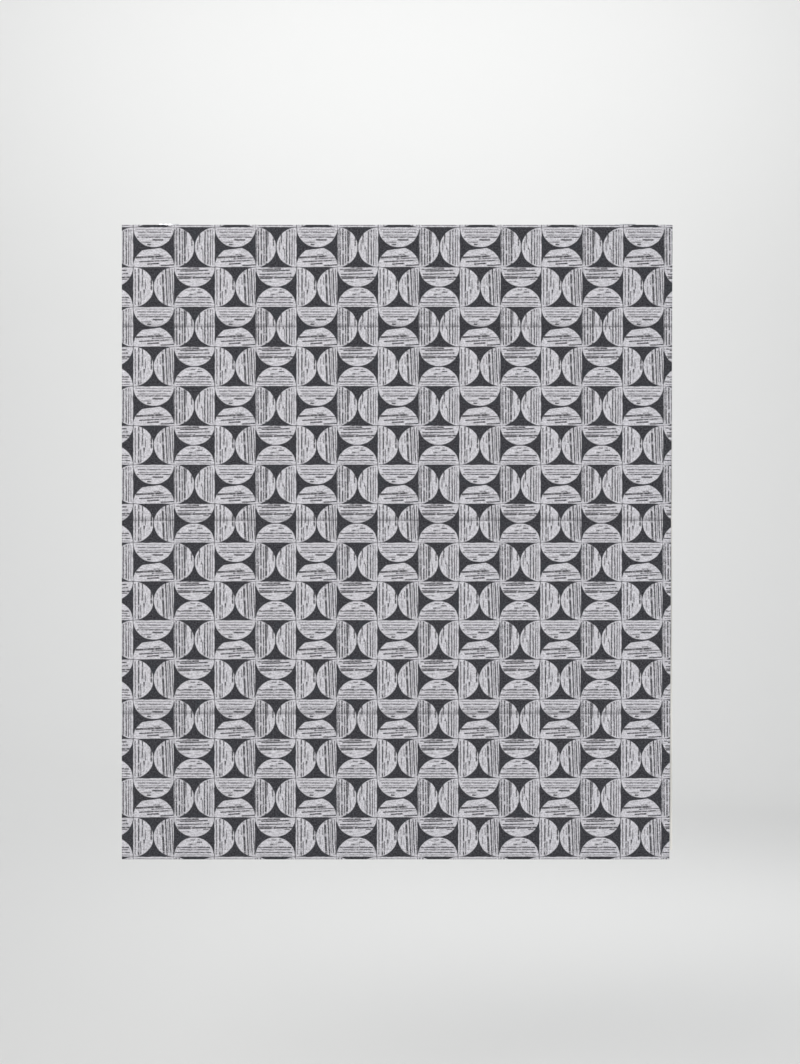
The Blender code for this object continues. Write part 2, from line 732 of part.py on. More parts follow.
def make_lift_spring(shaft):
    """A wound spring round the shaft, between a hub on the shaft and an anchor on the rail."""
    low = CORD_SIDES["centre"] + CRADLE_HIGH + SPRING_END_INSET
    high = CORD_SIDES["right"] + CRADLE_LOW - SPRING_END_INSET
    make_hub("spring_hub", low, HUB_LENGTH, shaft)
    anchor_low = high - HUB_LENGTH
    half = HUB_RADIUS
    foot = RAIL_FLOOR + GAP + HOUSING_WALL + GAP
    block = rectangle((SHAFT_Y - half, foot), (SHAFT_Y + half, SHAFT_Z + half))
    hole = ring_points(SHAFT_Y, SHAFT_Z, SHAFT_RADIUS + GAP)
    finish(section("spring_anchor", [block, hole], anchor_low, high), "white_plastic", BLIND)
    start = low + HUB_LENGTH + SPRING_WIRE_RADIUS + GAP
    end = anchor_low - SPRING_WIRE_RADIUS - GAP
    total = SPRING_TURNS * WINDING_STEPS
    points = []
    for i in range(total + 1):
        turn = 2 * math.pi * i / WINDING_STEPS
        y = SHAFT_Y + SPRING_COIL_RADIUS * math.cos(turn)
        z = SHAFT_Z + SPRING_COIL_RADIUS * math.sin(turn)
        points.append((start + (end - start) * i / total, y, z))
    finish(rod_along("lift_spring", SPRING_WIRE_RADIUS, points, 2), "steel", BLIND)
    make_spring_housing(low, high)


def make_spring_housing(low, high):
    """A trough on the rail's floor that the spring lies in."""
    inner = HUB_RADIUS + RUNNING_GAP
    outer = inner + HOUSING_WALL
    floor = RAIL_FLOOR + GAP
    trough = [
        (SHAFT_Y - outer, SHAFT_Z),
        (SHAFT_Y - outer, floor),
        (SHAFT_Y + outer, floor),
        (SHAFT_Y + outer, SHAFT_Z),
        (SHAFT_Y + inner, SHAFT_Z),
        (SHAFT_Y + inner, floor + HOUSING_WALL),
        (SHAFT_Y - inner, floor + HOUSING_WALL),
        (SHAFT_Y - inner, SHAFT_Z),
    ]
    finish(section("spring_housing", [trough], low, high), "white_plastic", BLIND)


def make_brake(shaft):
    """A drag brake halfway along the left bay: a hub on the shaft inside a block on the rail."""
    middle = (CORD_SIDES["left"] + CRADLE_HIGH + CORD_SIDES["centre"] + CRADLE_LOW) / 2
    bore = HUB_RADIUS + GAP
    outer = bore + BRAKE_WALL
    block = rectangle((SHAFT_Y - outer, RAIL_FLOOR + GAP), (SHAFT_Y + outer, SHAFT_Z + outer))
    hole = ring_points(SHAFT_Y, SHAFT_Z, bore)
    case = section("brake_case", [block, hole], middle - BRAKE_LENGTH / 2, middle + BRAKE_LENGTH / 2)
    finish(case, "white_plastic", BLIND)
    make_hub("brake_hub", middle - BRAKE_HUB_LENGTH / 2, BRAKE_HUB_LENGTH, shaft)


def shade_round_pieces():
    for obj in BLIND.objects:
        if obj.type == "MESH":
            obj.data.shade_smooth()
            obj.data.set_sharp_from_angle(angle=math.radians(35))


clear_scene()
BLIND = collection("roman_blind")
CUTTERS = collection("cutters")
PIVOTS = {}

make_headrail()
make_end_caps()
make_brackets()
make_tapes()
cloth_pair("heading", RAIL_BOTTOM + HINGE_GAP, -CLOTH_TOP_DROP)

shaft_pivot = pivot("shaft_turn", (0, SHAFT_Y, SHAFT_Z))
make_shaft(shaft_pivot)
make_cradles()
make_spools(shaft_pivot)
make_lift_spring(shaft_pivot)
make_brake(shaft_pivot)
make_cords()

lower_half = None
for panel in range(1, ROD_COUNT + 1):
    lower_half, rod_pivot = make_panel(panel, lower_half)
    make_rod(panel, rod_pivot)
    if panel < ROD_COUNT:
        make_rings(panel, rod_pivot)
make_adjusters(rod_pivot)
make_skirt(rod_pivot)
shade_round_pieces()
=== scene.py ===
import json
import math

import bpy
import numpy as np
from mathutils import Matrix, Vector


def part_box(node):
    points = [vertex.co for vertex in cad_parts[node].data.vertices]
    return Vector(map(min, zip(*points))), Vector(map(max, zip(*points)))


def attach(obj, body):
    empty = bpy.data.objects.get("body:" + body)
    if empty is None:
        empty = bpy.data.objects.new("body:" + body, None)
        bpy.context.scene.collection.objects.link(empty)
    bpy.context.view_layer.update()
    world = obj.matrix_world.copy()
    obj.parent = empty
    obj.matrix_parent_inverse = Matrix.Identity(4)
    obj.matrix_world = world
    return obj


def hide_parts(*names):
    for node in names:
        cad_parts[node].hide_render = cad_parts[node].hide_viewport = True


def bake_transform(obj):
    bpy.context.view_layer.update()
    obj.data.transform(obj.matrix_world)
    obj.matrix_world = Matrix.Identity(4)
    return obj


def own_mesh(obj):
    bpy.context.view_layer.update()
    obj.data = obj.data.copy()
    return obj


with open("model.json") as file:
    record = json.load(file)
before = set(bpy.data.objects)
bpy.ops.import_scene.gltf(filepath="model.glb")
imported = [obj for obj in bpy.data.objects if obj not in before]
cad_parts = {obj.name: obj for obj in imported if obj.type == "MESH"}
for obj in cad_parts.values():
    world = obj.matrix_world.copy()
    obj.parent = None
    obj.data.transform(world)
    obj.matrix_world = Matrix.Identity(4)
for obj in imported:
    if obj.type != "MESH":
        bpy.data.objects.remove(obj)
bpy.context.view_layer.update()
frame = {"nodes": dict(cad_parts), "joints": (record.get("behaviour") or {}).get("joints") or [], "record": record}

# Lines of the blind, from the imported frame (metres, +Z up, -Y towards the room)
JOINTS = {joint["name"]: joint for joint in frame["joints"]}
RODS = 3
SEAMS = [-JOINTS[f"rod_{n}_hang"]["pos_m"][2] for n in range(1, RODS + 1)]
CREASES = [-JOINTS[f"panel_{n}_crease"]["pos_m"][2] for n in range(1, RODS + 1)]
FIRST_FOLD = -JOINTS["panel_1_fold"]["pos_m"][2]
HEADING_LOW, HEADING_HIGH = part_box("heading_cloth")
HALF_WIDTH = HEADING_HIGH.x
CLOTH_TOP = -HEADING_HIGH.z
FACE_FRONT = HEADING_LOW.y
LINING_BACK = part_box("heading_lining")[1].y
SKIRT_LOW, SKIRT_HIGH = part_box("skirt_cloth")
DROP = -SKIRT_LOW.z
HEM_ROUND = (SKIRT_HIGH.y - SKIRT_LOW.y) / 2
BAR_LOW, BAR_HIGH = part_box("bottom_bar")
HEM_HEIGHT = 0.016
HEADING_STITCH = 0.011
FACE_THICKNESS = 0.0008
LINING_THICKNESS = 0.0005
SKEW = 0.0048
SIDES = {"left": -1, "right": 1}
PLACES = ("left", "centre", "right")

# The bodies of the frame's nodes, and the lines of the lift
BODIES = {node: body for body, nodes in frame["record"]["behaviour"]["bodies"].items() for node in nodes}
SHAFT = (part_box("lift_shaft")[0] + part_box("lift_shaft")[1]) / 2
CORD_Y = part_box("lift_cord_centre")[0].y + 0.0007
COIL_RADIUS = SHAFT.y - CORD_Y
RIGHT_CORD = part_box("lift_cord_right")[0].x + 0.0007
PLACES_X = {"left": -RIGHT_CORD, "centre": 0.0, "right": RIGHT_CORD}

# The print: its tile, and where its first whole tile starts
TILE_WIDTH = 0.06125
TILE_HEIGHT = 0.0590
PRINT_LEFT = -HALF_WIDTH + 0.0172
PRINT_TOP = CLOTH_TOP + 0.0037


# ---------------------------------------------------------------- camera, light and stage

def make_camera():
    """Straight on, with the blind's full drop and a margin round it."""
    distance = 3.2
    view_height = 1.596
    sensor = 36.0
    bpy.ops.object.camera_add(location=(0.0042, FACE_FRONT - distance, -0.4627), rotation=(math.pi / 2, 0, 0))
    camera = bpy.context.object
    camera.data.sensor_width = sensor
    camera.data.lens = sensor * distance / view_height
    bpy.context.scene.camera = camera


def make_light(name, place, target, size, power, color=(1.0, 1.0, 1.0)):
    bpy.ops.object.light_add(type="AREA", location=place)
    lamp = bpy.context.object
    lamp.name = name
    lamp.data.shape = "RECTANGLE"
    lamp.data.size = size[0]
    lamp.data.size_y = size[1]
    lamp.data.energy = power
    lamp.data.color = color
    lamp.visible_camera = False
    lamp.rotation_euler = (Vector(target) - Vector(place)).to_track_quat("-Z", "Y").to_euler()


def make_lights():
    middle = (0, 0, -0.48)
    make_light("key_light", (-1.2, -2.5, 0.75), middle, (1.8, 1.2), 52, (1.0, 0.985, 0.965))
    make_light("fill_light", (1.7, -2.2, -1.0), middle, (1.6, 1.6), 27, (0.96, 0.975, 1.0))
    make_light("back_light", (0.9, 2.4, 1.2), middle, (2.0, 1.4), 46)
    make_light("backdrop_light", (0.0, 4.2, 2.6), (0, 6.6, -0.3), (5.0, 1.2), 95)
    world = bpy.context.scene.world or bpy.data.worlds.new("studio")
    bpy.context.scene.world = world
    world.use_nodes = True
    background = world.node_tree.nodes["Background"]
    background.inputs["Color"].default_value = (0.93, 0.95, 0.98, 1.0)
    background.inputs["Strength"].default_value = 0.36
    bpy.context.scene.view_settings.view_transform = "Standard"


def make_stage():
    """A pale floor that curves up into a plain backdrop."""
    floor_height = -1.42
    curve_start = 4.6
    curve_radius = 2.2
    wall_top = 4.5
    rows = 60
    bpy.ops.mesh.primitive_grid_add(x_subdivisions=1, y_subdivisions=rows, size=1)
    floor = bpy.context.object
    floor.name = "studio_floor"
    run_low = curve_start + 9
    arc = curve_radius * math.pi / 2
    for vertex in floor.data.vertices:
        along = (vertex.co.y + 0.5) * (run_low + arc + wall_top)
        turn = min(max((along - run_low) / curve_radius, 0), math.pi / 2)
        vertex.co.x *= 22
        vertex.co.y = min(along - 9, curve_start) + curve_radius * math.sin(turn)
        vertex.co.z = floor_height + curve_radius * (1 - math.cos(turn)) + max(along - run_low - arc, 0)
    bpy.ops.object.shade_smooth()
    floor.data.materials.append(plain_finish("studio_paper", (0.80, 0.80, 0.79), 0.9))


# ---------------------------------------------------------------- node helpers

class Shading:
    """Short calls that build one material's nodes."""

    def __init__(self, name):
        self.material = bpy.data.materials.new(name)
        self.material.use_nodes = True
        self.tree = self.material.node_tree
        self.shader = self.tree.nodes["Principled BSDF"]

    def put(self, socket, value):
        if isinstance(value, bpy.types.NodeSocket):
            self.tree.links.new(value, socket)
        else:
            socket.default_value = value

    def node(self, kind, **settings):
        made = self.tree.nodes.new(kind)
        for name, value in settings.items():
            setattr(made, name, value)
        return made

    def math(self, operation, a, b=0.0, c=0.0, clamp=False):
        made = self.node("ShaderNodeMath", operation=operation, use_clamp=clamp)
        for socket, value in zip(made.inputs, (a, b, c)):
            self.put(socket, value)
        return made.outputs[0]

    def add(self, a, b):
        return self.math("ADD", a, b)

    def times(self, a, b):
        return self.math("MULTIPLY", a, b)

    def minus(self, a, b):
        return self.math("SUBTRACT", a, b)

    def ramp(self, value, low, high, to_low=0.0, to_high=1.0, smooth=True):
        """Value taken from low..high to to_low..to_high, and held beyond them."""
        made = self.node("ShaderNodeMapRange")
        made.interpolation_type = "SMOOTHSTEP" if smooth else "LINEAR"
        for socket, given in zip(made.inputs, (value, low, high, to_low, to_high)):
            self.put(socket, given)
        return made.outputs[0]

    def pick(self, flag, when_zero, when_one):
        """when_zero where flag is 0, when_one where it is 1."""
        return self.add(when_zero, self.times(flag, self.minus(when_one, when_zero)))

    def point(self, x, y, z=0.0):
        made = self.node("ShaderNodeCombineXYZ")
        for socket, value in zip(made.inputs, (x, y, z)):
            self.put(socket, value)
        return made.outputs[0]

    def noise(self, place, scale, detail=2.0, roughness=0.5, distortion=0.0):
        made = self.node("ShaderNodeTexNoise")
        self.put(made.inputs["Vector"], place)
        made.inputs["Scale"].default_value = scale
        made.inputs["Detail"].default_value = detail
        made.inputs["Roughness"].default_value = roughness
        made.inputs["Distortion"].default_value = distortion
        return made.outputs["Fac"]

    def mix(self, factor, a, b, blend="MIX"):
        made = self.node("ShaderNodeMix", data_type="RGBA", blend_type=blend)
        self.put(made.inputs["Factor"], factor)
        self.put(made.inputs["A"], a)
        self.put(made.inputs["B"], b)
        return made.outputs["Result"]

    def object_place(self):
        return self.node("ShaderNodeTexCoord").outputs["Object"]

    def cloth_place(self):
        """(across, down) in metres on the flat cloth."""
        uv = self.node("ShaderNodeUVMap", uv_map="cloth")
        split = self.node("ShaderNodeSeparateXYZ")
        self.put(split.inputs[0], uv.outputs["UV"])
        return split.outputs[0], split.outputs[1]

    def bump(self, height, depth, strength=1.0, after=None):
        made = self.node("ShaderNodeBump")
        made.inputs["Strength"].default_value = strength
        made.inputs["Distance"].default_value = depth
        self.put(made.inputs["Height"], height)
        if after is not None:
            self.put(made.inputs["Normal"], after)
        return made.outputs["Normal"]

    def set(self, **values):
        names = {"color": "Base Color", "rough": "Roughness", "metal": "Metallic", "normal": "Normal"}
        for name, value in values.items():
            self.put(self.shader.inputs[names[name]], value)

    def sheen(self, weight, roughness, tint=(1.0, 1.0, 1.0, 1.0)):
        self.shader.inputs["Sheen Weight"].default_value = weight
        self.shader.inputs["Sheen Roughness"].default_value = roughness
        self.shader.inputs["Sheen Tint"].default_value = tint


def rgb(red, green, blue):
    return (red, green, blue, 1.0)


def plain_finish(name, color, roughness):
    made = Shading(name)
    made.set(color=rgb(*color), rough=roughness)
    return made.material


# ---------------------------------------------------------------- the printed cloth

# Each half-disc of the print's two-by-two repeat, in shares of a tile: (radius, slope of its flattened side,
# height of that side), the slope of its pencil strokes, and the strokes themselves as (height above the flat
# edge, half width, darkness, start, end). The order is the four tiles' upper or left halves, row by row, and
# then their lower or right halves.
HALF_DISCS = (
    ((0.500, 0.000, 0.520), 0.000, (
        (0.055, 0.004, 0.35, -0.45, 0.45), (0.125, 0.007, 0.70, -0.39, 0.42),
        (0.195, 0.005, 0.50, -0.38, 0.34), (0.247, 0.009, 0.90, -0.41, 0.42),
        (0.317, 0.012, 0.95, -0.03, 0.24), (0.373, 0.007, 0.65, -0.31, -0.05),
        (0.433, 0.011, 0.90, -0.16, -0.06),
    )),
    ((0.500, 0.000, 0.490), 0.010, (
        (0.020, 0.006, 0.60, -0.45, 0.45), (0.065, 0.010, 0.85, -0.48, 0.46),
        (0.137, 0.011, 0.85, -0.47, 0.46), (0.200, 0.009, 0.70, -0.40, 0.42),
        (0.262, 0.015, 1.00, -0.42, 0.44), (0.305, 0.006, 0.60, -0.42, -0.02),
        (0.350, 0.005, 0.45, 0.05, 0.35), (0.440, 0.008, 0.70, -0.25, -0.02),
    )),
    ((0.500, 0.000, 0.486), 0.000, (
        (0.050, 0.007, 0.60, -0.45, 0.45), (0.135, 0.010, 0.85, -0.47, 0.47),
        (0.185, 0.007, 0.60, 0.10, 0.45), (0.232, 0.011, 0.90, -0.45, 0.00),
        (0.264, 0.015, 1.00, 0.06, 0.32), (0.300, 0.006, 0.50, -0.20, 0.05),
        (0.447, 0.012, 0.95, -0.25, 0.08),
    )),
    ((0.495, 0.000, 0.490), -0.030, (
        (0.010, 0.006, 0.65, -0.20, 0.50), (0.048, 0.009, 0.80, -0.44, 0.12),
        (0.090, 0.010, 0.85, -0.35, 0.34), (0.172, 0.009, 0.85, -0.41, 0.38),
        (0.228, 0.007, 0.65, -0.42, 0.02), (0.266, 0.014, 1.00, -0.40, 0.44),
        (0.315, 0.007, 0.65, 0.22, 0.36), (0.360, 0.006, 0.50, -0.33, -0.10),
    )),
    ((0.505, -0.142, 0.461), 0.054, (
        (0.030, 0.009, 0.95, 0.17, 0.50), (0.085, 0.010, 0.85, -0.16, 0.14),
        (0.152, 0.010, 0.90, -0.36, 0.46), (0.211, 0.007, 0.70, -0.05, 0.46),
        (0.263, 0.016, 1.00, -0.44, 0.26), (0.310, 0.007, 0.65, 0.00, 0.16),
        (0.365, 0.007, 0.65, 0.14, 0.22),
    )),
    ((0.495, 0.000, 0.520), 0.000, (
        (0.060, 0.005, 0.45, -0.45, 0.45), (0.113, 0.007, 0.65, -0.45, 0.45),
        (0.172, 0.009, 0.85, -0.44, 0.43), (0.244, 0.011, 0.95, -0.40, 0.41),
        (0.296, 0.006, 0.55, 0.05, 0.33), (0.318, 0.014, 1.00, -0.03, 0.06),
        (0.375, 0.009, 0.75, -0.33, -0.05), (0.420, 0.006, 0.55, -0.18, 0.15),
    )),
    ((0.495, 0.160, 0.500), -0.043, (
        (0.030, 0.007, 0.65, -0.45, 0.45), (0.090, 0.009, 0.85, -0.47, 0.47),
        (0.135, 0.005, 0.50, -0.40, 0.40), (0.185, 0.011, 0.90, -0.46, 0.46),
        (0.266, 0.016, 1.00, -0.40, 0.48), (0.330, 0.006, 0.55, -0.25, -0.05),
        (0.400, 0.005, 0.40, -0.20, 0.20),
    )),
    ((0.495, 0.000, 0.492), 0.000, (
        (0.045, 0.005, 0.40, -0.45, 0.45), (0.110, 0.008, 0.80, -0.48, 0.42),
        (0.178, 0.007, 0.60, -0.34, 0.38), (0.238, 0.011, 0.95, -0.42, 0.40),
        (0.310, 0.012, 0.95, -0.14, 0.04), (0.370, 0.009, 0.85, 0.07, 0.20),
        (0.430, 0.007, 0.65, -0.10, 0.15),
    )),
)
STROKE_EDGE = 0.004


def stroke_profile(shade, height, strokes):
    """How dark the pencil is at each height above the flat edge, where a stroke is drawn."""
    made = shade.node("ShaderNodeValToRGB")
    shade.put(made.inputs["Fac"], shade.times(height, 2.0))
    places = []
    last = 0.001
    for middle, thin, faint, _, _ in strokes:
        half = thin * 1.4 + 0.0028
        darkness = min(1.0, 0.48 + 0.65 * faint)
        outer_low = max(middle - half - STROKE_EDGE, last)
        inner_low = max(middle - half + STROKE_EDGE / 2, outer_low + 0.0005)
        inner_high = max(middle + half - STROKE_EDGE / 2, inner_low + 0.0005)
        outer_high = inner_high + STROKE_EDGE
        places += [(outer_low, 0), (inner_low, darkness), (inner_high, darkness), (outer_high, 0)]
        last = outer_high + 0.0005
    stops = made.color_ramp.elements
    stops[0].position = places[0][0] * 2.0
    stops[0].color = (0, 0, 0, 1)
    stops[1].position = places[-1][0] * 2.0
    stops[1].color = (0, 0, 0, 1)
    for place, value in places[1:-1]:
        stops.new(place * 2.0).color = (value, value, value, 1)
    return made.outputs["Color"]


def stroke_window(shade, height, strokes):
    """Where along the flat edge the stroke at this height starts (red) and ends (green), plus a half."""
    made = shade.node("ShaderNodeValToRGB")
    shade.put(made.inputs["Fac"], shade.times(height, 2.0))
    made.color_ramp.interpolation = "CONSTANT"
    stops = made.color_ramp.elements
    edges = [0.0]
    for below, above in zip(strokes, strokes[1:]):
        edges.append((below[0] + below[1] + above[0] - above[1]) / 2)
    while len(stops) < len(strokes):
        stops.new(0.5)
    for stop, edge, stroke in zip(stops, edges, strokes):
        stop.position = edge * 2.0
        stop.color = (stroke[3] + 0.5, stroke[4] + 0.5, 0, 1)
    return made.outputs["Color"]


def by_disc(shade, flags, values):
    """The one of eight vectors or colours whose flag is 1."""
    total = (0.0, 0.0, 0.0)
    for flag, value in zip(flags, values):
        made = shade.node("ShaderNodeVectorMath", operation="MULTIPLY_ADD")
        for socket, given in zip(made.inputs, (value, flag, total)):
            shade.put(socket, given)
        total = made.outputs[0]
    split = shade.node("ShaderNodeSeparateXYZ")
    shade.put(split.inputs[0], total)
    return split.outputs


def half_disc_print(shade, across, down):
    """The print: 1 on pale ink and 0 on the ground, how dark a pencil stroke is, and brush streaks."""
    column = shade.math("DIVIDE", shade.minus(across, PRINT_LEFT), TILE_WIDTH)
    row = shade.math("DIVIDE", shade.minus(down, PRINT_TOP), TILE_HEIGHT)
    column = shade.math("WRAP", column, 2.0, 0.0)
    row = shade.math("WRAP", row, 2.0, 0.0)
    repeat = shade.point(column, row)
    column_index = shade.math("FLOOR", column)
    row_index = shade.math("FLOOR", row)
    fx = shade.minus(shade.math("FRACT", column), 0.5)
    fz = shade.minus(shade.math("FRACT", row), 0.5)
    upright = shade.math("ABSOLUTE", shade.minus(column_index, row_index))
    along = shade.pick(upright, fx, fz)
    over = shade.pick(upright, fz, fx)
    second = shade.math("GREATER_THAN", over, 0.0)
    height = shade.minus(0.5, shade.math("ABSOLUTE", over))
    tile = shade.add(column_index, shade.times(row_index, 2.0))
    index = shade.add(tile, shade.times(second, 4.0))
    flags = [shade.math("COMPARE", index, float(number), 0.4) for number in range(8)]
    seed = shade.times(index, 7.31)

    # outline: a circle about the middle of the flat edge, with a flattened side on some
    edge_waver = shade.times(shade.minus(shade.noise(repeat, 5.0, 2.0), 0.5), 0.026)
    grain = shade.minus(shade.noise(repeat, 60.0, 3.0, 0.7), 0.5)
    radius, slope, top = by_disc(shade, flags, [disc[0] for disc in HALF_DISCS])
    reach = shade.math("SQRT", shade.add(shade.times(along, along), shade.times(height, height)))
    flat = shade.minus(top, shade.add(height, shade.times(slope, along)))
    inside = shade.math("MINIMUM", shade.minus(radius, reach), flat)
    inside = shade.add(inside, shade.add(edge_waver, shade.times(grain, 0.030)))
    disc = shade.ramp(inside, -0.006, 0.012)

    # pencil strokes along the flat edge, wavering, rubbed and broken
    slow = shade.point(shade.add(shade.times(along, 3.0), seed), shade.times(height, 6.0))
    drift = shade.noise(slow, 1.0, 2.0)
    tilt = by_disc(shade, flags, [(disc[1], 0.0, 0.0) for disc in HALF_DISCS])[0]
    level = shade.minus(height, shade.times(tilt, along))
    level = shade.add(level, shade.times(shade.minus(drift, 0.5), 0.018))
    fine = shade.point(shade.add(shade.times(along, 34.0), seed), shade.times(height, 60.0))
    rough = shade.noise(fine, 1.0, 2.0)
    rough_level = shade.add(level, shade.times(shade.minus(rough, 0.5), 0.026))
    profiles = [stroke_profile(shade, rough_level, disc[2]) for disc in HALF_DISCS]
    darkness = by_disc(shade, flags, profiles)[0]
    windows = [stroke_window(shade, level, disc[2]) for disc in HALF_DISCS]
    start, end = by_disc(shade, flags, windows)[:2]
    moved = shade.add(along, 0.5)
    drawn = shade.math("MINIMUM", shade.minus(moved, start), shade.minus(end, moved))
    drawn = shade.add(drawn, shade.times(shade.minus(rough, 0.5), 0.03))
    drawn = shade.ramp(drawn, -0.010, 0.014)
    band = shade.math("FLOOR", shade.times(level, 17.0))
    run = shade.point(shade.add(shade.times(along, 7.5), seed), shade.times(band, 3.7))
    press = shade.ramp(shade.noise(run, 1.0, 3.0, 0.6), 0.33, 0.50, 0.15, 1.0)
    crumbs = shade.point(shade.add(shade.times(along, 40.0), seed), shade.times(height, 90.0), 5.0)
    skips = shade.ramp(shade.noise(crumbs, 1.0, 2.0, 0.6), 0.33, 0.50, 0.30, 1.0)
    stroke = shade.times(shade.times(darkness, drawn), shade.times(press, skips))

    # faint brush streaks between the strokes
    brush = shade.point(shade.add(shade.times(along, 5.0), seed), shade.times(height, 64.0))
    streaks = shade.ramp(shade.noise(brush, 1.0, 4.0, 0.75), 0.45, 0.63)

    # thin broken joint between neighbouring tiles
    side_x = shade.minus(0.5, shade.math("ABSOLUTE", fx))
    side_z = shade.minus(0.5, shade.math("ABSOLUTE", fz))
    nearest = shade.math("MINIMUM", side_x, side_z)
    joint_press = shade.ramp(shade.noise(repeat, 4.7, 2.0), 0.44, 0.60)
    nearest = shade.add(nearest, shade.times(grain, 0.016))
    joint = shade.times(shade.ramp(nearest, 0.013, 0.003), shade.add(0.12, shade.times(joint_press, 0.85)))
    disc = shade.times(disc, shade.minus(1.0, joint))
    return disc, stroke, streaks


def weave_height(shade, across, down, pitch):
    """Plain weave: crowns of warp and weft in turn."""
    turns = 2 * math.pi / pitch
    warp = shade.math("SINE", shade.times(across, turns))
    weft = shade.math("SINE", shade.times(down, turns))
    checks = shade.times(warp, weft)
    return shade.add(shade.times(checks, 0.5), 0.5)


def seam_shade(shade, down):
    """Painted shade gathered just above each seam, and the dark line of its stitching."""
    total = 0.0
    for seam in SEAMS:
        above = shade.ramp(shade.minus(down, seam), -0.0085, -0.0005)
        total = shade.add(total, shade.times(above, shade.math("LESS_THAN", down, seam)))
    return total


def printed_cloth():
    """Half-discs in pale ink with pencilled strokes, on a charcoal slubby weave."""
    shade = Shading("printed_cloth_face")
    across, down = shade.cloth_place()
    place = shade.point(across, down)
    disc, stroke, streaks = half_disc_print(shade, across, down)

    threads = shade.noise(shade.point(across, shade.times(down, 0.22)), 1500.0, 2.0, 0.6)
    slubs = shade.noise(shade.point(shade.times(across, 0.20), down), 1000.0, 2.0, 0.6)
    mottle = shade.noise(place, 430.0, 4.0, 0.75)
    flecks = shade.noise(shade.point(across, down, 3.0), 900.0, 2.0, 0.7)
    cloudy = shade.noise(place, 12.0, 3.0, 0.6)

    ground = shade.mix(shade.ramp(mottle, 0.34, 0.66), rgb(0.006, 0.006, 0.009), rgb(0.066, 0.065, 0.074))
    ground = shade.mix(shade.times(shade.ramp(flecks, 0.56, 0.74), 0.55), ground, rgb(0.215, 0.212, 0.230))
    cool = shade.noise(place, 48.0, 2.0)
    ground = shade.mix(shade.times(shade.ramp(cool, 0.5, 0.72), 0.30), ground, rgb(0.036, 0.046, 0.054))

    pale = shade.mix(shade.ramp(threads, 0.30, 0.70), rgb(0.560, 0.548, 0.584), rgb(0.830, 0.818, 0.860))
    pale = shade.mix(shade.times(shade.ramp(slubs, 0.52, 0.76), 0.40), pale, rgb(0.36, 0.355, 0.38))
    pale = shade.mix(shade.times(shade.ramp(mottle, 0.50, 0.63), 0.70), pale, rgb(0.24, 0.238, 0.255))
    pale = shade.mix(shade.times(streaks, 0.62), pale, rgb(0.17, 0.168, 0.182))
    pale = shade.mix(shade.times(shade.ramp(cloudy, 0.40, 0.70), 0.20), pale, rgb(0.60, 0.575, 0.60))
    ink = shade.mix(shade.ramp(mottle, 0.35, 0.70), rgb(0.005, 0.005, 0.007), rgb(0.040, 0.039, 0.045))
    drawn = shade.mix(shade.times(stroke, 0.96), pale, ink)
    color = shade.mix(disc, ground, drawn)
    # painted shade: the cloth darkens towards each seam from just above it
    color = shade.mix(shade.times(seam_shade(shade, down), 0.38), color, rgb(0.03, 0.03, 0.035))

    weave = weave_height(shade, across, down, 0.00105)
    relief = shade.add(shade.times(weave, 0.5), shade.times(mottle, 0.7))
    relief = shade.add(relief, shade.times(slubs, 0.5))
    normal = shade.bump(relief, 0.00024, 0.8)
    shade.set(color=color, rough=shade.ramp(mottle, 0.3, 0.7, 0.82, 0.96), normal=normal)
    shade.shader.inputs["Specular IOR Level"].default_value = 0.22
    shade.sheen(0.10, 0.5)
    return shade.material


def lining_cloth(name="lining_weave"):
    """Off-white plain-woven lining with faint slubs and soft creases."""
    shade = Shading(name)
    across, down = shade.cloth_place()
    place = shade.point(across, down)
    weft = shade.noise(shade.point(shade.times(across, 0.05), down), 1600.0, 2.0)
    warp = shade.noise(shade.point(across, shade.times(down, 0.05)), 1700.0, 2.0)
    cloudy = shade.noise(place, 9.0, 3.0)
    color = shade.mix(shade.ramp(weft, 0.35, 0.65), rgb(0.72, 0.70, 0.655), rgb(0.80, 0.785, 0.745))
    color = shade.mix(shade.times(shade.ramp(warp, 0.5, 0.8), 0.4), color, rgb(0.67, 0.65, 0.60))
    color = shade.mix(shade.times(shade.ramp(cloudy, 0.4, 0.7), 0.3), color, rgb(0.77, 0.75, 0.70))
    weave = weave_height(shade, across, down, 0.0008)
    relief = shade.add(weave, shade.times(shade.add(weft, warp), 0.6))
    shade.set(color=color, rough=0.9, normal=shade.bump(relief, 0.00012, 0.6))
    shade.shader.inputs["Specular IOR Level"].default_value = 0.2
    shade.sheen(0.15, 0.5)
    return shade.material


# ---------------------------------------------------------------- how the cloth hangs

def bell(value, low, high):
    """0 to 1 to 0: a smooth bump between low and high."""
    t = np.clip((value - low) / (high - low), 0, 1)
    return np.sin(np.pi * t) ** 2


def rise(value, low, high):
    t = np.clip((value - low) / (high - low), 0, 1)
    return t * t * (3 - 2 * t)


def seam_tuck(s, seam):
    """How far a stitched seam pulls the cloth in, from 0 to 1: slowly from above, sharply from below."""
    above = np.exp(-np.clip(seam - s, 0, None) / 0.0042)
    below = np.exp(-np.clip(s - seam, 0, None) / 0.0016)
    return np.where(s <= seam, above, below)


def puckers(x, s, seam):
    """Small gathers that the seam's stitches leave, fading away from it."""
    fade = np.exp(-np.abs(s - seam) / 0.011)
    waves = np.sin(x * 2 * np.pi / 0.0187 + 9 * seam)
    waves += 0.7 * np.sin(x * 2 * np.pi / 0.0113 + 3.1 + 40 * seam)
    waves += 0.5 * np.sin(x * 2 * np.pi / 0.0431 + 1.7)
    return fade * waves


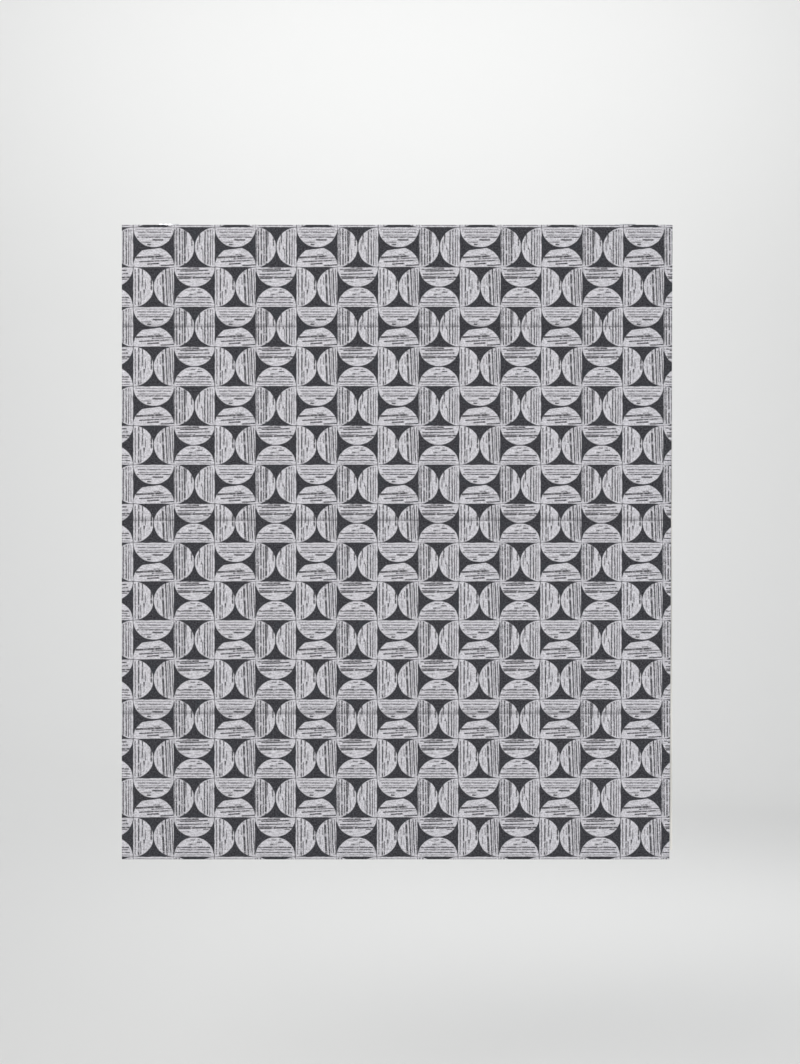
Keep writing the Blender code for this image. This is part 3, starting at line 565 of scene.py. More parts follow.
def billow(x, s):
    """The slow swell of cloth between rods, with a few long ripples."""
    swell = np.zeros_like(s)
    starts = [FIRST_FOLD] + SEAMS
    ends = SEAMS + [DROP - HEM_HEIGHT]
    for start, end in zip(starts, ends):
        swell += bell(s, start, end)
    ripples = 0.5 * np.sin(x * 7.1 + 2.3 * np.sin(s * 5.3)) + 0.35 * np.sin(x * 15.7 - s * 9.1 + 1.0)
    ripples += 0.25 * np.sin(x * 3.3 + s * 13.0 + 0.6)
    return swell, ripples


def face_relief(x, s):
    """How far the face stands out from where it is held flat."""
    swell, ripples = billow(x, s)
    free = rise(s, FIRST_FOLD - 0.004, FIRST_FOLD + 0.03)
    out = 0.0009 + 0.0009 * swell + 0.00042 * ripples * free * (0.35 + swell)
    for seam in SEAMS:
        out -= 0.00105 * seam_tuck(s, seam)
        out += 0.00011 * puckers(x, s, seam)
    for stitch in (HEADING_STITCH, DROP - HEM_HEIGHT):
        out -= 0.00035 * np.exp(-((s - stitch) / 0.0012) ** 2)
        out += 0.00006 * puckers(x, s, stitch)
    edge = np.clip((np.abs(x) - (HALF_WIDTH - 0.004)) / 0.004, 0, 1)
    out -= 0.0004 * edge ** 2
    out -= 0.0007 * rise(s, DROP - HEM_HEIGHT, DROP)
    return out


def hang_face(x, s):
    """Points of the printed face: down the front, round the hem's turn and up behind the bar."""
    turn_start = DROP - HEM_ROUND
    arc = np.clip((s - turn_start) / HEM_ROUND, 0, np.pi)
    up = np.clip(s - turn_start - np.pi * HEM_ROUND, 0, None)
    out = face_relief(x, np.minimum(s, DROP)) * np.cos(arc / 2) ** 2
    y = FACE_FRONT + HEM_ROUND * (1 - np.cos(arc)) - out * np.cos(arc)
    z = -np.minimum(s, turn_start) - HEM_ROUND * np.sin(arc) + up - out * np.sin(arc)
    return y, z


def lining_relief(x, s):
    """How far the lining hangs back from the face."""
    swell, ripples = billow(x, s)
    free = rise(s, FIRST_FOLD - 0.004, FIRST_FOLD + 0.03)
    out = 0.0009 * swell * free - 0.0004 * ripples * free * swell
    for seam in SEAMS:
        out += 0.00008 * puckers(x, s, seam)
        out -= 0.0001 * seam_tuck(s, seam)
    return out


def hang_lining(x, s):
    return LINING_BACK + lining_relief(x, s), -s


def lines_down(start, end):
    """Heights of the rows of a sheet: close together at seams, creases and the hem's turn."""
    fine = [HEADING_STITCH, FIRST_FOLD, DROP - HEM_HEIGHT] + SEAMS
    rows = [start]
    while rows[-1] < end - 1e-7:
        nearest = min(abs(rows[-1] - line) for line in fine)
        step = 0.0007 if nearest < 0.006 else 0.0016 if nearest < 0.02 else 0.003
        if rows[-1] > DROP - 2 * HEM_ROUND:
            step = 0.0006
        rows.append(rows[-1] + step)
    if len(rows) > 2 and end - rows[-2] < 0.0004:
        rows.pop(-2)
    rows[-1] = end
    for line in fine:
        if start < line < end:
            rows[int(np.argmin([abs(row - line) for row in rows[1:-1]])) + 1] = line
    return np.array(rows)


def grid_sheet(name, columns, rows):
    """A flat grid with one vertex at each column and row."""
    bpy.ops.mesh.primitive_grid_add(x_subdivisions=columns - 1, y_subdivisions=rows - 1, size=1)
    sheet = bpy.context.object
    sheet.name = name
    count = len(sheet.data.vertices)
    flat = np.zeros(count * 3)
    sheet.data.vertices.foreach_get("co", flat)
    flat = flat.reshape(-1, 3)
    column = np.rint((flat[:, 0] + 0.5) * (columns - 1)).astype(int)
    row = np.rint((0.5 - flat[:, 1]) * (rows - 1)).astype(int)
    return sheet, column, row


def cloth_down(s):
    """Place down the flat cloth: the drop with the cloth's slight unevenness taken out."""
    slack = 0.0025 * np.sin((s - PRINT_TOP) * 2 * np.pi / 1.08)
    return s - slack * (1 - rise(s, 0.62, 0.72))


def give_maps(sheet, x, across_cloth, s, span, front_share):
    """The map in metres that weave and print follow, and a packed one with front and back side by side."""
    mesh = sheet.data
    count = len(x)
    corners = np.zeros(len(mesh.loops), np.int64)
    mesh.loops.foreach_get("vertex_index", corners)
    behind = corners >= count
    corner = np.where(behind, corners - count, corners)
    cloth = mesh.uv_layers.new(name="cloth")
    flat = np.stack([across_cloth[corner], cloth_down(s)[corner]], axis=1)
    cloth.data.foreach_set("uv", flat.astype(np.float32).ravel())

    across = 0.012 + 0.976 * (x[corner] + HALF_WIDTH) / (2 * HALF_WIDTH)
    down = (s[corner] - span[0]) / (span[1] - span[0])
    faces = np.zeros(len(mesh.polygons) * 2, np.int64)
    sizes = np.zeros(len(mesh.polygons), np.int64)
    mesh.polygons.foreach_get("loop_total", sizes)
    face_of = np.repeat(np.arange(len(mesh.polygons)), sizes)
    faces = np.bincount(face_of, weights=behind) / sizes
    all_back = faces[face_of] > 0.99
    rim = (faces[face_of] > 0.01) & ~all_back
    front_low = 1 - 0.01 - front_share
    v = np.where(all_back, 0.02 + (front_low - 0.05) * (1 - down), front_low + front_share * (1 - down))
    margin = 0.005
    push = rim & behind
    v = np.where(push & (down < 1e-6), v + margin, v)
    v = np.where(push & (down > 1 - 1e-6), v - margin, v)
    across = np.where(push & (across < 0.5) & (down > 1e-6) & (down < 1 - 1e-6), across - margin, across)
    across = np.where(push & (across > 0.5) & (down > 1e-6) & (down < 1 - 1e-6), across + margin, across)
    packed = mesh.uv_layers.new(name="OFBake")
    packed.data.foreach_set("uv", np.stack([across, v], axis=1).astype(np.float32).ravel())
    mesh.uv_layers["cloth"].active_render = True


def make_sheet(name, finish, place, start, end, edges, spacing, thickness, facing):
    """One stretch of cloth from start to end down its length. edges gives its two sides at each place."""
    low_x, high_x = edges
    rows = lines_down(start, end)
    columns = int(round((high_x(start) - low_x(start)) / spacing)) + 1
    sheet, column, row = grid_sheet(name, columns, len(rows))
    s = rows[row]
    share = column / (columns - 1)
    x = low_x(s) * (1 - share) + high_x(s) * share
    y, z = place(x, s)
    points = np.stack([x, y, z], axis=1)
    sheet.data.vertices.foreach_set("co", points.astype(np.float32).ravel())
    sheet.data.update()
    if facing > 0:
        bpy.ops.object.mode_set(mode="EDIT")
        bpy.ops.mesh.select_all(action="SELECT")
        bpy.ops.mesh.flip_normals()
        bpy.ops.object.mode_set(mode="OBJECT")
    wall = sheet.modifiers.new("thickness", "SOLIDIFY")
    wall.thickness = thickness
    wall.offset = -1
    bpy.ops.object.modifier_apply(modifier="thickness")
    while sheet.data.uv_layers:
        sheet.data.uv_layers.remove(sheet.data.uv_layers[0])
    give_maps(sheet, x, HALF_WIDTH * (2 * share - 1), s, (start, end), 0.60)
    bpy.ops.object.shade_smooth_by_angle(angle=math.radians(40))
    sheet.data.materials.clear()
    sheet.data.materials.append(finish)
    return sheet


def stretches():
    """Each stretch of cloth: name, ends, the bodies it bends between, where it bends, and what it covers."""
    bend_at_seam = 0.013
    half_bend = 0.020
    rows = []
    start = CLOTH_TOP
    above = "headrail_set"
    above_nodes = ["heading"]
    fold = FIRST_FOLD
    for n in range(1, RODS + 1):
        crease = CREASES[n - 1]
        seam = SEAMS[n - 1]
        upper = f"panel_{n}_upper"
        lower = f"panel_{n}_lower"
        end = (fold + crease) / 2
        bend_start = fold + 0.0006 if n == 1 else fold - bend_at_seam
        covered = above_nodes + [upper]
        rows.append((f"over_fold_{n}", start, end, above, upper, bend_start, fold + bend_at_seam, covered))
        start = end
        end = (crease + seam) / 2
        bend = (crease - half_bend, crease + half_bend)
        rows.append((f"over_crease_{n}", start, end, upper, lower, *bend, []))
        start = end
        fold = seam
        above = lower
        above_nodes = [lower]
    bend = (fold - bend_at_seam, fold - 0.0006)
    rows.append(("skirt", start, None, above, "rod_3_set", *bend, above_nodes + ["skirt"]))
    return rows


def face_right(s):
    """The right edge of the print runs in a little towards the bottom."""
    return HALF_WIDTH - SKEW * np.clip(s, 0, DROP) / DROP


def lining_right(s):
    return HALF_WIDTH - 0.0004 + 0 * s


def face_left(s):
    return -HALF_WIDTH + 0 * s


def lining_left(s):
    return -HALF_WIDTH + 0.003 + 0 * s


def make_layer(layer, suffix, finish, place, edges, spacing, thickness, facing, skirt_end):
    """One layer of the blind, in stretches that each span one fold."""
    left, right = edges
    for name, start, end, above, below, bend_start, bend_end, nodes in stretches():
        end = end or skirt_end
        piece = make_sheet(f"{layer}_{name}", finish, place, start, end, edges, spacing, thickness, facing)
        if nodes:
            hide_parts(*[f"{node}_{suffix}" for node in nodes])
        width = float(right(np.array(start)) - left(np.array(start)))
        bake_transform(piece)


def make_cloth():
    face_end = DROP - HEM_ROUND + math.pi * HEM_ROUND + HEM_HEIGHT - HEM_ROUND
    edges = (face_left, face_right)
    make_layer("face", "cloth", printed_cloth(), hang_face, edges, 0.004, FACE_THICKNESS, -1, face_end)
    lining_end = -BAR_HIGH.z - 0.0004
    edges = (lining_left, lining_right)
    make_layer("lining", "lining", lining_cloth(), hang_lining, edges, 0.008, LINING_THICKNESS, 1, lining_end)


# ---------------------------------------------------------------- finishes of the hard pieces

def split_place(shade):
    split = shade.node("ShaderNodeSeparateXYZ")
    shade.put(split.inputs[0], shade.object_place())
    return split.outputs


def powder_coat():
    """White powder coat with a slight orange peel, over the faint lines of the extruded rail."""
    shade = Shading("white_powder_coat")
    x, y, z = split_place(shade)
    place = shade.object_place()
    lines = shade.noise(shade.point(shade.times(x, 0.004), y, z), 3800.0, 3.0, 0.7)
    peel = shade.noise(place, 900.0, 2.0, 0.5)
    cloud = shade.noise(place, 26.0, 3.0, 0.6)
    dust = shade.noise(place, 330.0, 4.0, 0.7)
    color = shade.mix(shade.ramp(cloud, 0.40, 0.70), rgb(0.830, 0.830, 0.812), rgb(0.780, 0.779, 0.758))
    color = shade.mix(shade.times(shade.ramp(lines, 0.52, 0.72), 0.30), color, rgb(0.70, 0.70, 0.685))
    color = shade.mix(shade.times(shade.ramp(dust, 0.60, 0.76), 0.35), color, rgb(0.60, 0.585, 0.55))
    rough = shade.add(shade.ramp(peel, 0.35, 0.65, 0.36, 0.44), shade.ramp(dust, 0.5, 0.72, 0.0, 0.12))
    relief = shade.add(shade.times(peel, 0.8), shade.times(lines, 0.35))
    shade.set(color=color, rough=rough, normal=shade.bump(relief, 0.00003, 0.6))
    shade.shader.inputs["Specular IOR Level"].default_value = 0.5
    return shade.material


def zinc_steel(name="zinc_steel", tint=(0.62, 0.64, 0.66)):
    """Zinc-plated steel, a little cloudy, with rubbed spots."""
    shade = Shading(name)
    place = shade.object_place()
    cloud = shade.noise(place, 140.0, 4.0, 0.6, 0.6)
    grain = shade.noise(place, 2600.0, 2.0, 0.7)
    rub = shade.noise(place, 420.0, 3.0, 0.7)
    light = rgb(*tint)
    dark = rgb(tint[0] * 0.66, tint[1] * 0.67, tint[2] * 0.70)
    color = shade.mix(shade.ramp(cloud, 0.38, 0.66), light, dark)
    color = shade.mix(shade.times(shade.ramp(rub, 0.60, 0.74), 0.5), color, rgb(0.40, 0.39, 0.38))
    rough = shade.add(shade.ramp(cloud, 0.35, 0.7, 0.26, 0.42), shade.ramp(grain, 0.4, 0.7, 0.0, 0.08))
    shade.set(color=color, metal=1.0, rough=rough, normal=shade.bump(grain, 0.000015, 0.5))
    return shade.material


def moulded_plastic(name, color, rough=0.42):
    """Moulded plastic with a fine spark-eroded grain and faint flow marks."""
    shade = Shading(name)
    place = shade.object_place()
    grain = shade.noise(place, 2300.0, 2.0, 0.6)
    flow = shade.noise(place, 70.0, 3.0, 0.55, 1.2)
    dust = shade.noise(place, 260.0, 4.0, 0.7)
    light = rgb(*color)
    shaded = rgb(color[0] * 0.90, color[1] * 0.895, color[2] * 0.87)
    soil = rgb(color[0] * 0.74, color[1] * 0.72, color[2] * 0.68)
    mixed = shade.mix(shade.ramp(flow, 0.40, 0.70), light, shaded)
    mixed = shade.mix(shade.times(shade.ramp(dust, 0.58, 0.76), 0.35), mixed, soil)
    roughness = shade.ramp(dust, 0.4, 0.7, rough, rough + 0.14)
    roughness = shade.add(roughness, shade.ramp(grain, 0.4, 0.6, 0.0, 0.04))
    shade.set(color=mixed, rough=roughness, normal=shade.bump(grain, 0.00002, 0.5))
    shade.shader.inputs["IOR"].default_value = 1.49
    shade.shader.inputs["Specular IOR Level"].default_value = 0.45
    return shade.material


def clear_plastic():
    """Clear moulded plastic, slightly hazed."""
    shade = Shading("clear_moulding")
    place = shade.object_place()
    haze = shade.noise(place, 320.0, 3.0, 0.6)
    grain = shade.noise(place, 1900.0, 2.0)
    color = shade.mix(shade.ramp(haze, 0.4, 0.7), rgb(0.90, 0.925, 0.93), rgb(0.78, 0.81, 0.82))
    rough = shade.ramp(haze, 0.4, 0.7, 0.10, 0.24)
    shade.set(color=color, rough=rough, normal=shade.bump(grain, 0.000012, 0.4))
    shade.shader.inputs["IOR"].default_value = 1.58
    shade.shader.inputs["Transmission Weight"].default_value = 0.55
    return shade.material


def glass_fibre():
    """Pultruded rod: off-white resin over long glass strands."""
    shade = Shading("glass_fibre_rod")
    x, y, z = split_place(shade)
    strands = shade.noise(shade.point(shade.times(x, 0.006), y, z), 6500.0, 3.0, 0.7)
    patches = shade.noise(shade.object_place(), 45.0, 3.0)
    color = shade.mix(shade.ramp(strands, 0.38, 0.64), rgb(0.80, 0.79, 0.72), rgb(0.58, 0.58, 0.52))
    color = shade.mix(shade.times(shade.ramp(patches, 0.45, 0.7), 0.25), color, rgb(0.70, 0.67, 0.55))
    rough = shade.ramp(strands, 0.3, 0.7, 0.30, 0.46)
    shade.set(color=color, rough=rough, normal=shade.bump(strands, 0.00002, 0.7))
    return shade.material


def braided(shade, along, around, color=(0.82, 0.81, 0.77), turns=4.0, length=0.0032):
    """Two sets of strands crossing round a cord, with painted shade in the gaps between strands. along is in
    metres down it and around in turns.
    """
    lean = shade.times(along, 2 * math.pi * turns / length / 2)
    around = shade.times(around, 2 * math.pi * turns)
    one = shade.math("SINE", shade.add(lean, around))
    other = shade.math("SINE", shade.minus(lean, around))
    over = shade.math("MAXIMUM", one, other)
    strand = shade.ramp(over, -0.4, 0.95)
    fluff = shade.noise(shade.object_place(), 5200.0, 3.0, 0.7)
    light = rgb(*color)
    dark = rgb(color[0] * 0.50, color[1] * 0.49, color[2] * 0.46)
    # painted shade: dark where neither strand is on top, in the gaps between them
    mixed = shade.mix(strand, dark, light)
    mixed = shade.mix(shade.times(shade.ramp(fluff, 0.52, 0.78), 0.35), mixed, dark)
    relief = shade.add(strand, shade.times(fluff, 0.4))
    shade.set(color=mixed, rough=0.78, normal=shade.bump(relief, 0.00009, 0.8))
    shade.sheen(0.12, 0.5)
    return shade.material


def hanging_cord_finish():
    shade = Shading("braided_cord")
    x, y, z = split_place(shade)
    gap = PLACES_X["right"]
    from_middle = shade.math("WRAP", x, gap / 2, -gap / 2)
    turn = shade.math("ARCTAN2", shade.minus(y, CORD_Y), from_middle)
    return braided(shade, z, shade.math("DIVIDE", turn, 2 * math.pi))


def wound_cord_finish():
    shade = Shading("braided_cord_wound")
    _, y, z = split_place(shade)
    turn = shade.math("ARCTAN2", shade.minus(z, SHAFT.z), shade.minus(y, SHAFT.y))
    out = shade.point(0.0, shade.minus(y, SHAFT.y), shade.minus(z, SHAFT.z))
    reach = shade.node("ShaderNodeVectorMath", operation="LENGTH")
    shade.put(reach.inputs[0], out)
    over = shade.minus(reach.outputs["Value"], COIL_RADIUS)
    return braided(shade, shade.times(turn, COIL_RADIUS), shade.times(over, 420.0))


def tape_finish(name, fibre, density):
    """Woven tape with a field of hooks or loops, with painted shade between the tufts and between the woven rows.
    """
    shade = Shading(name)
    z = split_place(shade)[2]
    place = shade.object_place()
    cells = shade.node("ShaderNodeTexVoronoi")
    cells.inputs["Scale"].default_value = density
    shade.put(cells.inputs["Vector"], place)
    tuft = shade.ramp(cells.outputs["Distance"], 0.15, 0.60, 1.0, 0.0)
    rows = shade.ramp(shade.math("SINE", shade.times(z, 2 * math.pi / 0.0013)), -0.6, 0.9)
    fuzz = shade.noise(place, 3600.0, 3.0, 0.75)
    dark = rgb(fibre[0] * 0.62, fibre[1] * 0.62, fibre[2] * 0.62)
    # painted shade between the tufts and between the woven rows; the fibre colour stays on their tops
    color = shade.mix(shade.times(shade.add(tuft, shade.times(rows, 0.4)), 0.72), dark, rgb(*fibre))
    color = shade.mix(shade.times(shade.ramp(fuzz, 0.5, 0.8), 0.35), color, dark)
    relief = shade.add(tuft, shade.add(shade.times(rows, 0.3), shade.times(fuzz, 0.6)))
    shade.set(color=color, rough=0.88, normal=shade.bump(relief, 0.0002, 0.8))
    shade.sheen(0.2, 0.5)
    return shade.material


def thread_finish(name, color):
    """Twisted sewing thread: fine slanting plies, with painted shade in the grooves between them."""
    shade = Shading(name)
    x, _, z = split_place(shade)
    turn = shade.add(shade.times(x, 2 * math.pi / 0.00042), shade.times(z, 2 * math.pi / 0.0005))
    slant = shade.math("SINE", turn)
    ply = shade.ramp(slant, -0.7, 0.7)
    fluff = shade.noise(shade.object_place(), 4200.0, 2.0, 0.7)
    light = rgb(*color)
    dark = rgb(color[0] * 0.5, color[1] * 0.5, color[2] * 0.5)
    # painted shade in the grooves between plies, together with random darker fluff
    mixed = shade.mix(shade.add(shade.times(ply, 0.7), shade.times(fluff, 0.3)), dark, light)
    shade.set(color=mixed, rough=0.7, normal=shade.bump(shade.add(ply, fluff), 0.00005, 0.7))
    shade.sheen(0.1, 0.4)
    return shade.material


# ---------------------------------------------------------------- hard pieces

def on_its_body(piece, finish, slot_name, *nodes):
    """Give a piece its finish, and let it take the place of CAD nodes and move with them."""
    piece.data.materials.clear()
    piece.data.materials.append(finish)
    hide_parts(*nodes)
    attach(piece, BODIES[nodes[0]])
    return piece


def settle(piece):
    """Bring a piece's place into its mesh."""
    bpy.ops.object.select_all(action="DESELECT")
    piece.select_set(True)
    bpy.context.view_layer.objects.active = piece
    bpy.ops.object.transform_apply(location=True, rotation=True, scale=True)


def smooth(piece, angle=32.0):
    bpy.ops.object.select_all(action="DESELECT")
    piece.select_set(True)
    bpy.context.view_layer.objects.active = piece
    bpy.ops.object.shade_smooth_by_angle(angle=math.radians(angle))


def round_edges(piece, width, segments=2, angle=35.0):
    bpy.context.view_layer.objects.active = piece
    edges = piece.modifiers.new("edges", "BEVEL")
    edges.width = width
    edges.segments = segments
    edges.limit_method = "ANGLE"
    edges.angle_limit = math.radians(angle)
    edges.use_clamp_overlap = True
    bpy.ops.object.modifier_apply(modifier="edges")


def rounded_copy(node, finish, slot_name, width, segments=2):
    """The designed piece with its edges eased."""
    source = frame["nodes"][node]
    mesh = source.data.copy()
    mesh.transform(source.matrix_world)
    piece = bpy.data.objects.new(f"{node}_made", mesh)
    bpy.context.scene.collection.objects.link(piece)
    bpy.ops.object.select_all(action="DESELECT")
    piece.select_set(True)
    bpy.context.view_layer.objects.active = piece
    bpy.ops.object.mode_set(mode="EDIT")
    bpy.ops.mesh.select_all(action="SELECT")
    bpy.ops.mesh.remove_doubles(threshold=0.000002)
    bpy.ops.mesh.dissolve_limited(angle_limit=math.radians(1.0))
    bpy.ops.mesh.normals_make_consistent(inside=False)
    bpy.ops.object.mode_set(mode="OBJECT")
    round_edges(piece, width, segments)
    smooth(piece)
    return on_its_body(piece, finish, slot_name, node)


def bar_along_x(name, low_x, high_x, y, z, radius, sides=40, ease=0.0003):
    """A round bar lying across the blind, with eased ends."""
    bpy.ops.mesh.primitive_cylinder_add(vertices=sides, radius=radius, depth=high_x - low_x,
                                        location=((low_x + high_x) / 2, y, z), rotation=(0, math.pi / 2, 0))
    bar = bpy.context.object
    bar.name = name
    settle(bar)
    round_edges(bar, ease, 2, 50.0)
    smooth(bar, 45.0)
    return bar


def coil(name, x, radius, wire, turns, length, start_angle, sides=12, steps=32):
    """A wire wound round the shaft's line, from x onwards."""
    bpy.ops.mesh.primitive_circle_add(vertices=sides, radius=wire, location=(x, SHAFT.y, SHAFT.z))
    wound = bpy.context.object
    wound.name = name
    bpy.ops.object.mode_set(mode="EDIT")
    bpy.ops.mesh.select_all(action="SELECT")
    bpy.ops.transform.translate(value=(0, -radius, 0))
    bpy.ops.transform.rotate(value=start_angle, orient_axis="X", center_override=(x, SHAFT.y, SHAFT.z))
    bpy.ops.object.mode_set(mode="OBJECT")
    screw = wound.modifiers.new("winding", "SCREW")
    screw.axis = "X"
    screw.angle = -2 * math.pi * turns
    screw.screw_offset = length
    screw.steps = max(int(steps * turns), 3)
    screw.render_steps = screw.steps
    screw.use_merge_vertices = False
    bpy.ops.object.modifier_apply(modifier="winding")
    settle(wound)
    bpy.ops.object.mode_set(mode="EDIT")
    bpy.ops.mesh.select_all(action="SELECT")
    bpy.ops.mesh.fill_holes(sides=0)
    bpy.ops.mesh.select_all(action="SELECT")
    bpy.ops.mesh.normals_make_consistent(inside=False)
    bpy.ops.object.mode_set(mode="OBJECT")
    smooth(wound, 50.0)
    return wound


def stitch_row(name, body, finish, low_x, high_x, surface,
               pitch=0.0036, long=0.00125, thick=0.00023):
    """Threads lying in a line across the cloth. surface gives the y and z they lie at for each x."""
    bpy.ops.mesh.primitive_uv_sphere_add(segments=8, ring_count=5, radius=1, location=(0, 0, 0),
                                         rotation=(0, math.pi / 2, 0))
    row = bpy.context.object
    row.name = name
    row.scale = (thick, thick, long)
    settle(row)
    count = int((high_x - low_x) / pitch)
    repeat = row.modifiers.new("row", "ARRAY")
    repeat.count = count
    repeat.use_relative_offset = False
    repeat.use_constant_offset = True
    repeat.constant_offset_displace = (pitch, 0, 0)
    bpy.ops.object.modifier_apply(modifier="row")
    points = np.zeros(len(row.data.vertices) * 3)
    row.data.vertices.foreach_get("co", points)
    points = points.reshape(-1, 3)
    number = np.rint(points[:, 0] / pitch)
    x = low_x + pitch * number
    y, z = surface(x)
    points[:, 0] += low_x + 0.00012 * np.sin(number * 12.9898)
    lean = (points[:, 0] - x) * 0.05 * np.sin(number * 4.1)
    points[:, 1] += y
    points[:, 2] += z + lean + 0.00005 * np.sin(number * 7.7)
    row.data.vertices.foreach_set("co", points.astype(np.float32).ravel())
    row.data.update()
    bpy.ops.object.shade_smooth()
    row.data.materials.clear()
    row.data.materials.append(finish)
    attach(row, body)
    return row


def make_hard_pieces():
    coated = powder_coat()
    zinc = zinc_steel()
    white = moulded_plastic("white_moulding", (0.80, 0.795, 0.77))
    pearl = moulded_plastic("pearl_moulding", (0.70, 0.70, 0.69), 0.36)
    clear = clear_plastic()
    rounded_copy("headrail", coated, "rail_aluminium", 0.00028)
    rounded_copy("bottom_bar", coated, "rail_aluminium", 0.0004)
    for side in SIDES:
        rounded_copy(f"rail_end_cap_{side}", white, "white_plastic", 0.0004, 3)
        rounded_copy(f"bracket_{side}", zinc, "steel", 0.00018)
        rounded_copy(f"latch_{side}", white, "white_plastic", 0.0003, 3)
        rounded_copy(f"bar_cap_{side}", white, "white_plastic", 0.0003)
    for place in PLACES:
        rounded_copy(f"spool_cradle_{place}", pearl, "white_plastic", 0.00025)
        rounded_copy(f"cord_spool_{place}", white, "white_plastic", 0.0002)
        rounded_copy(f"cord_adjuster_{place}", clear, "clear_plastic", 0.0003)
    rounded_copy("spring_hub", pearl, "white_plastic", 0.0003)
    rounded_copy("spring_anchor", pearl, "white_plastic", 0.0003)
    rounded_copy("spring_housing", zinc, "steel", 0.0002)
    rounded_copy("brake_case", white, "white_plastic", 0.0004, 3)
    rounded_copy("brake_hub", pearl, "white_plastic", 0.0003)
    rounded_copy("hook_tape", tape_finish("hook_tape_face", (0.74, 0.74, 0.72), 1500.0), "tape", 0.0001)
    rounded_copy("loop_tape", tape_finish("loop_tape_face", (0.80, 0.79, 0.76), 900.0), "tape", 0.0001)

    low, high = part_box("lift_shaft")
    shaft = bar_along_x("lift_shaft_made", low.x, high.x, SHAFT.y, SHAFT.z, (high.z - low.z) / 2)
    on_its_body(shaft, zinc_steel("shaft_steel", (0.70, 0.71, 0.72)), "steel", "lift_shaft")
    fibre = glass_fibre()
    for n in range(1, RODS + 1):
        low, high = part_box(f"rod_{n}")
        rod = bar_along_x(f"rod_{n}_made", low.x, high.x, (low.y + high.y) / 2, (low.z + high.z) / 2,
                          (high.y - low.y) / 2, 24, 0.00025)
        on_its_body(rod, fibre, "fibreglass", f"rod_{n}")

    low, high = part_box("lift_spring")
    wire = 0.0006
    across = (high.z - low.z) / 2 - wire
    spring = coil("lift_spring_made", low.x + wire, across, wire, 34, high.x - low.x - 2 * wire, 0.0, 12, 30)
    on_its_body(spring, zinc_steel("spring_steel", (0.50, 0.51, 0.53)), "steel", "lift_spring")


def ring_part(width, sides):
    """Settle the primitive just added and ease its edges."""
    part = bpy.context.object
    settle(part)
    round_edges(part, width, sides, 50.0)
    return part


def make_ring(node, clear):
    """A ring on a square sewing plate, with a boss where they meet."""
    low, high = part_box(node)
    middle = (low + high) / 2
    x = middle.x
    bpy.ops.mesh.primitive_torus_add(location=(x, CORD_Y, middle.z), major_radius=0.0046,
                                     minor_radius=0.0009, major_segments=48, minor_segments=16)
    ring = bpy.context.object
    ring.name = f"{node}_made"
    settle(ring)
    bpy.ops.mesh.primitive_cube_add(size=1, location=(x, low.y + 0.0006, middle.z),
                                    scale=(0.009, 0.0012, 0.009))
    plate = ring_part(0.0005, 3)
    bpy.ops.mesh.primitive_cylinder_add(vertices=20, radius=0.0018, depth=0.0016,
                                        location=(x, low.y + 0.0014, middle.z),
                                        rotation=(math.pi / 2, 0, 0))
    boss = ring_part(0.0004, 2)
    for part in (plate, boss, ring):
        part.select_set(True)
    bpy.context.view_layer.objects.active = ring
    bpy.ops.object.join()
    smooth(ring, 40.0)
    on_its_body(ring, clear, "clear_plastic", node)
    return x, low.y + 0.00125, middle.z


def make_rings():
    """Clear rings sewn on the back of the two upper rod pockets, one at each cord."""
    clear = clear_plastic()
    thread = thread_finish("ring_thread", (0.80, 0.79, 0.76))
    for n in range(1, RODS):
        for place in PLACES:
            node = f"cord_ring_{n}_{place}"
            x, back, middle = make_ring(node, clear)
            for side in (-1, 1):
                surface = lambda at, rise=side * 0.0031: (back, middle + rise)
                stitch_row(f"{node}_thread_{side + 2}", f"rod_{n}_set", thread,
                           x - 0.0024, x + 0.0031, surface, 0.0024, 0.0011, 0.00026)


def make_cords():
    """The lift cords: a hanging part below each spool and the turns already wound on it."""
    hanging = hanging_cord_finish()
    wound = wound_cord_finish()
    radius = 0.0007
    for place in PLACES:
        node = f"lift_cord_{place}"
        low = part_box(node)[0]
        x = PLACES_X[place]
        bpy.ops.mesh.primitive_cylinder_add(vertices=16, radius=radius, depth=SHAFT.z - low.z,
                                            location=(x, CORD_Y, (SHAFT.z + low.z) / 2))
        cord = bpy.context.object
        cord.name = f"{node}_hanging"
        settle(cord)
        smooth(cord, 50.0)
        on_its_body(cord, hanging, "cord", node)
        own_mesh(cord)
        turns = coil(f"{node}_wound", x, COIL_RADIUS, radius, 1.5, 0.0027, 0.0, 16, 48)
        turns.data.materials.clear()
        turns.data.materials.append(wound)
        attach(turns, "shaft_set")


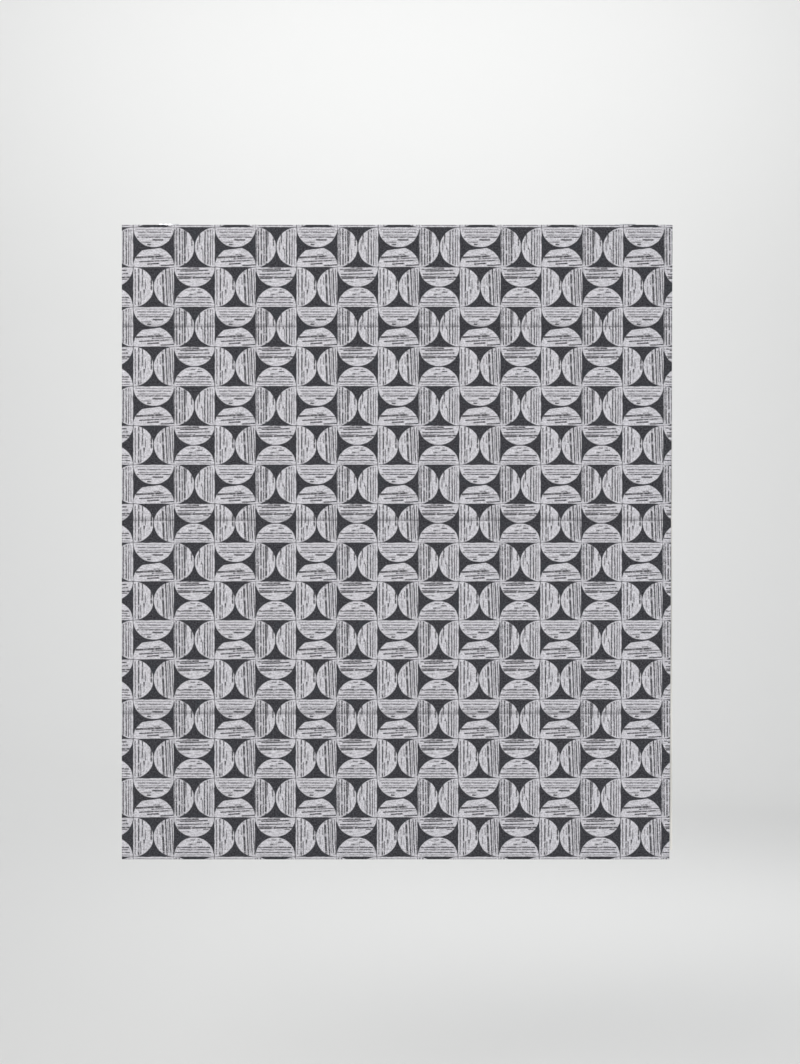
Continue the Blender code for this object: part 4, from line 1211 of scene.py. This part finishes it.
def make_pockets():
    """Narrow tubes of lining sewn along each seam, with the rods in them."""
    finish = lining_cloth("pocket_cloth")
    middle_y = -0.0003
    radius = 0.00205
    drop = 0.0117
    front_top = -0.00268
    back_top = -0.00226
    below_seam = 0.0004
    for n in range(1, RODS + 1):
        node = f"rod_pocket_{n}"
        low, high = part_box(node)
        seam = SEAMS[n - 1]
        path = []
        for t in np.linspace(0, 1, 14)[:-1]:
            lean = t ** 1.5
            y = front_top + lean * (middle_y - radius - front_top)
            path.append((y, -seam - below_seam - t * (drop - below_seam)))
        for angle in np.linspace(math.pi, 2 * math.pi, 17):
            path.append((middle_y + radius * math.cos(angle), -seam - drop + radius * math.sin(angle)))
        for t in np.linspace(0, 1, 14)[1:]:
            y = middle_y + radius + rise(t, 0, 1) * (back_top - middle_y - radius)
            path.append((y, -seam - drop + t * (drop - below_seam)))
        path = np.array(path)
        steps = np.concatenate([[0], np.cumsum(np.hypot(*np.diff(path, axis=0).T))])
        columns = 161
        pocket, column, row = grid_sheet(f"{node}_made", columns, len(path))
        share = column / (columns - 1)
        x = low.x + share * (high.x - low.x)
        s = steps[row]
        y = path[row, 0] + 0.00012 * np.sin(x * 311.0 + s * 200) * np.sin(np.pi * s / steps[-1])
        z = path[row, 1] + 0.00010 * np.sin(x * 173.0 + 1.3) * np.sin(np.pi * s / steps[-1])
        pocket.data.vertices.foreach_set("co", np.stack([x, y, z], axis=1).astype(np.float32).ravel())
        pocket.data.update()
        wall = pocket.modifiers.new("thickness", "SOLIDIFY")
        wall.thickness = 0.0004
        wall.offset = 0
        bpy.ops.object.modifier_apply(modifier="thickness")
        bpy.ops.object.mode_set(mode="EDIT")
        bpy.ops.mesh.select_all(action="SELECT")
        bpy.ops.mesh.normals_make_consistent(inside=False)
        bpy.ops.object.mode_set(mode="OBJECT")
        while pocket.data.uv_layers:
            pocket.data.uv_layers.remove(pocket.data.uv_layers[0])
        give_maps(pocket, x, x, s, (0.0, float(steps[-1])), 0.45)
        bpy.ops.object.shade_smooth_by_angle(angle=math.radians(40))
        on_its_body(pocket, finish, "lining_cloth", node)


def make_stitches():
    dark = thread_finish("charcoal_thread", (0.07, 0.07, 0.08))
    pale = thread_finish("lining_thread", (0.72, 0.70, 0.65))
    left = -HALF_WIDTH + 0.004

    def on_face(s):
        return lambda x: hang_face(x, np.full_like(x, s))

    stitch_row("heading_stitches", "headrail_set", dark,
               left, -left, on_face(HEADING_STITCH))
    for n, seam in enumerate(SEAMS, 1):
        right = float(face_right(seam)) - 0.004
        stitch_row(f"seam_{n}_stitches", f"rod_{n}_set", dark, left, right, on_face(seam))
        back = lambda x, s=seam: (np.full_like(x, -0.00205), np.full_like(x, -s - 0.0012))
        stitch_row(f"pocket_{n}_stitches", f"rod_{n}_set", pale,
                   left + 0.010, right - 0.010, back)
    right = float(face_right(DROP)) - 0.004
    hem = DROP - HEM_HEIGHT + 0.0006
    stitch_row("hem_stitches", "rod_3_set", dark, left, right, on_face(hem))
    turn = DROP - HEM_ROUND + math.pi * HEM_ROUND
    behind = lambda x: hang_face(x, np.full_like(x, turn + HEM_HEIGHT - HEM_ROUND - 0.0016))
    stitch_row("hem_stitches_behind", "rod_3_set", dark, left, right, behind)


make_camera()
make_lights()
make_stage()
make_cloth()
make_pockets()
make_stitches()
make_hard_pieces()
make_rings()
make_cords()
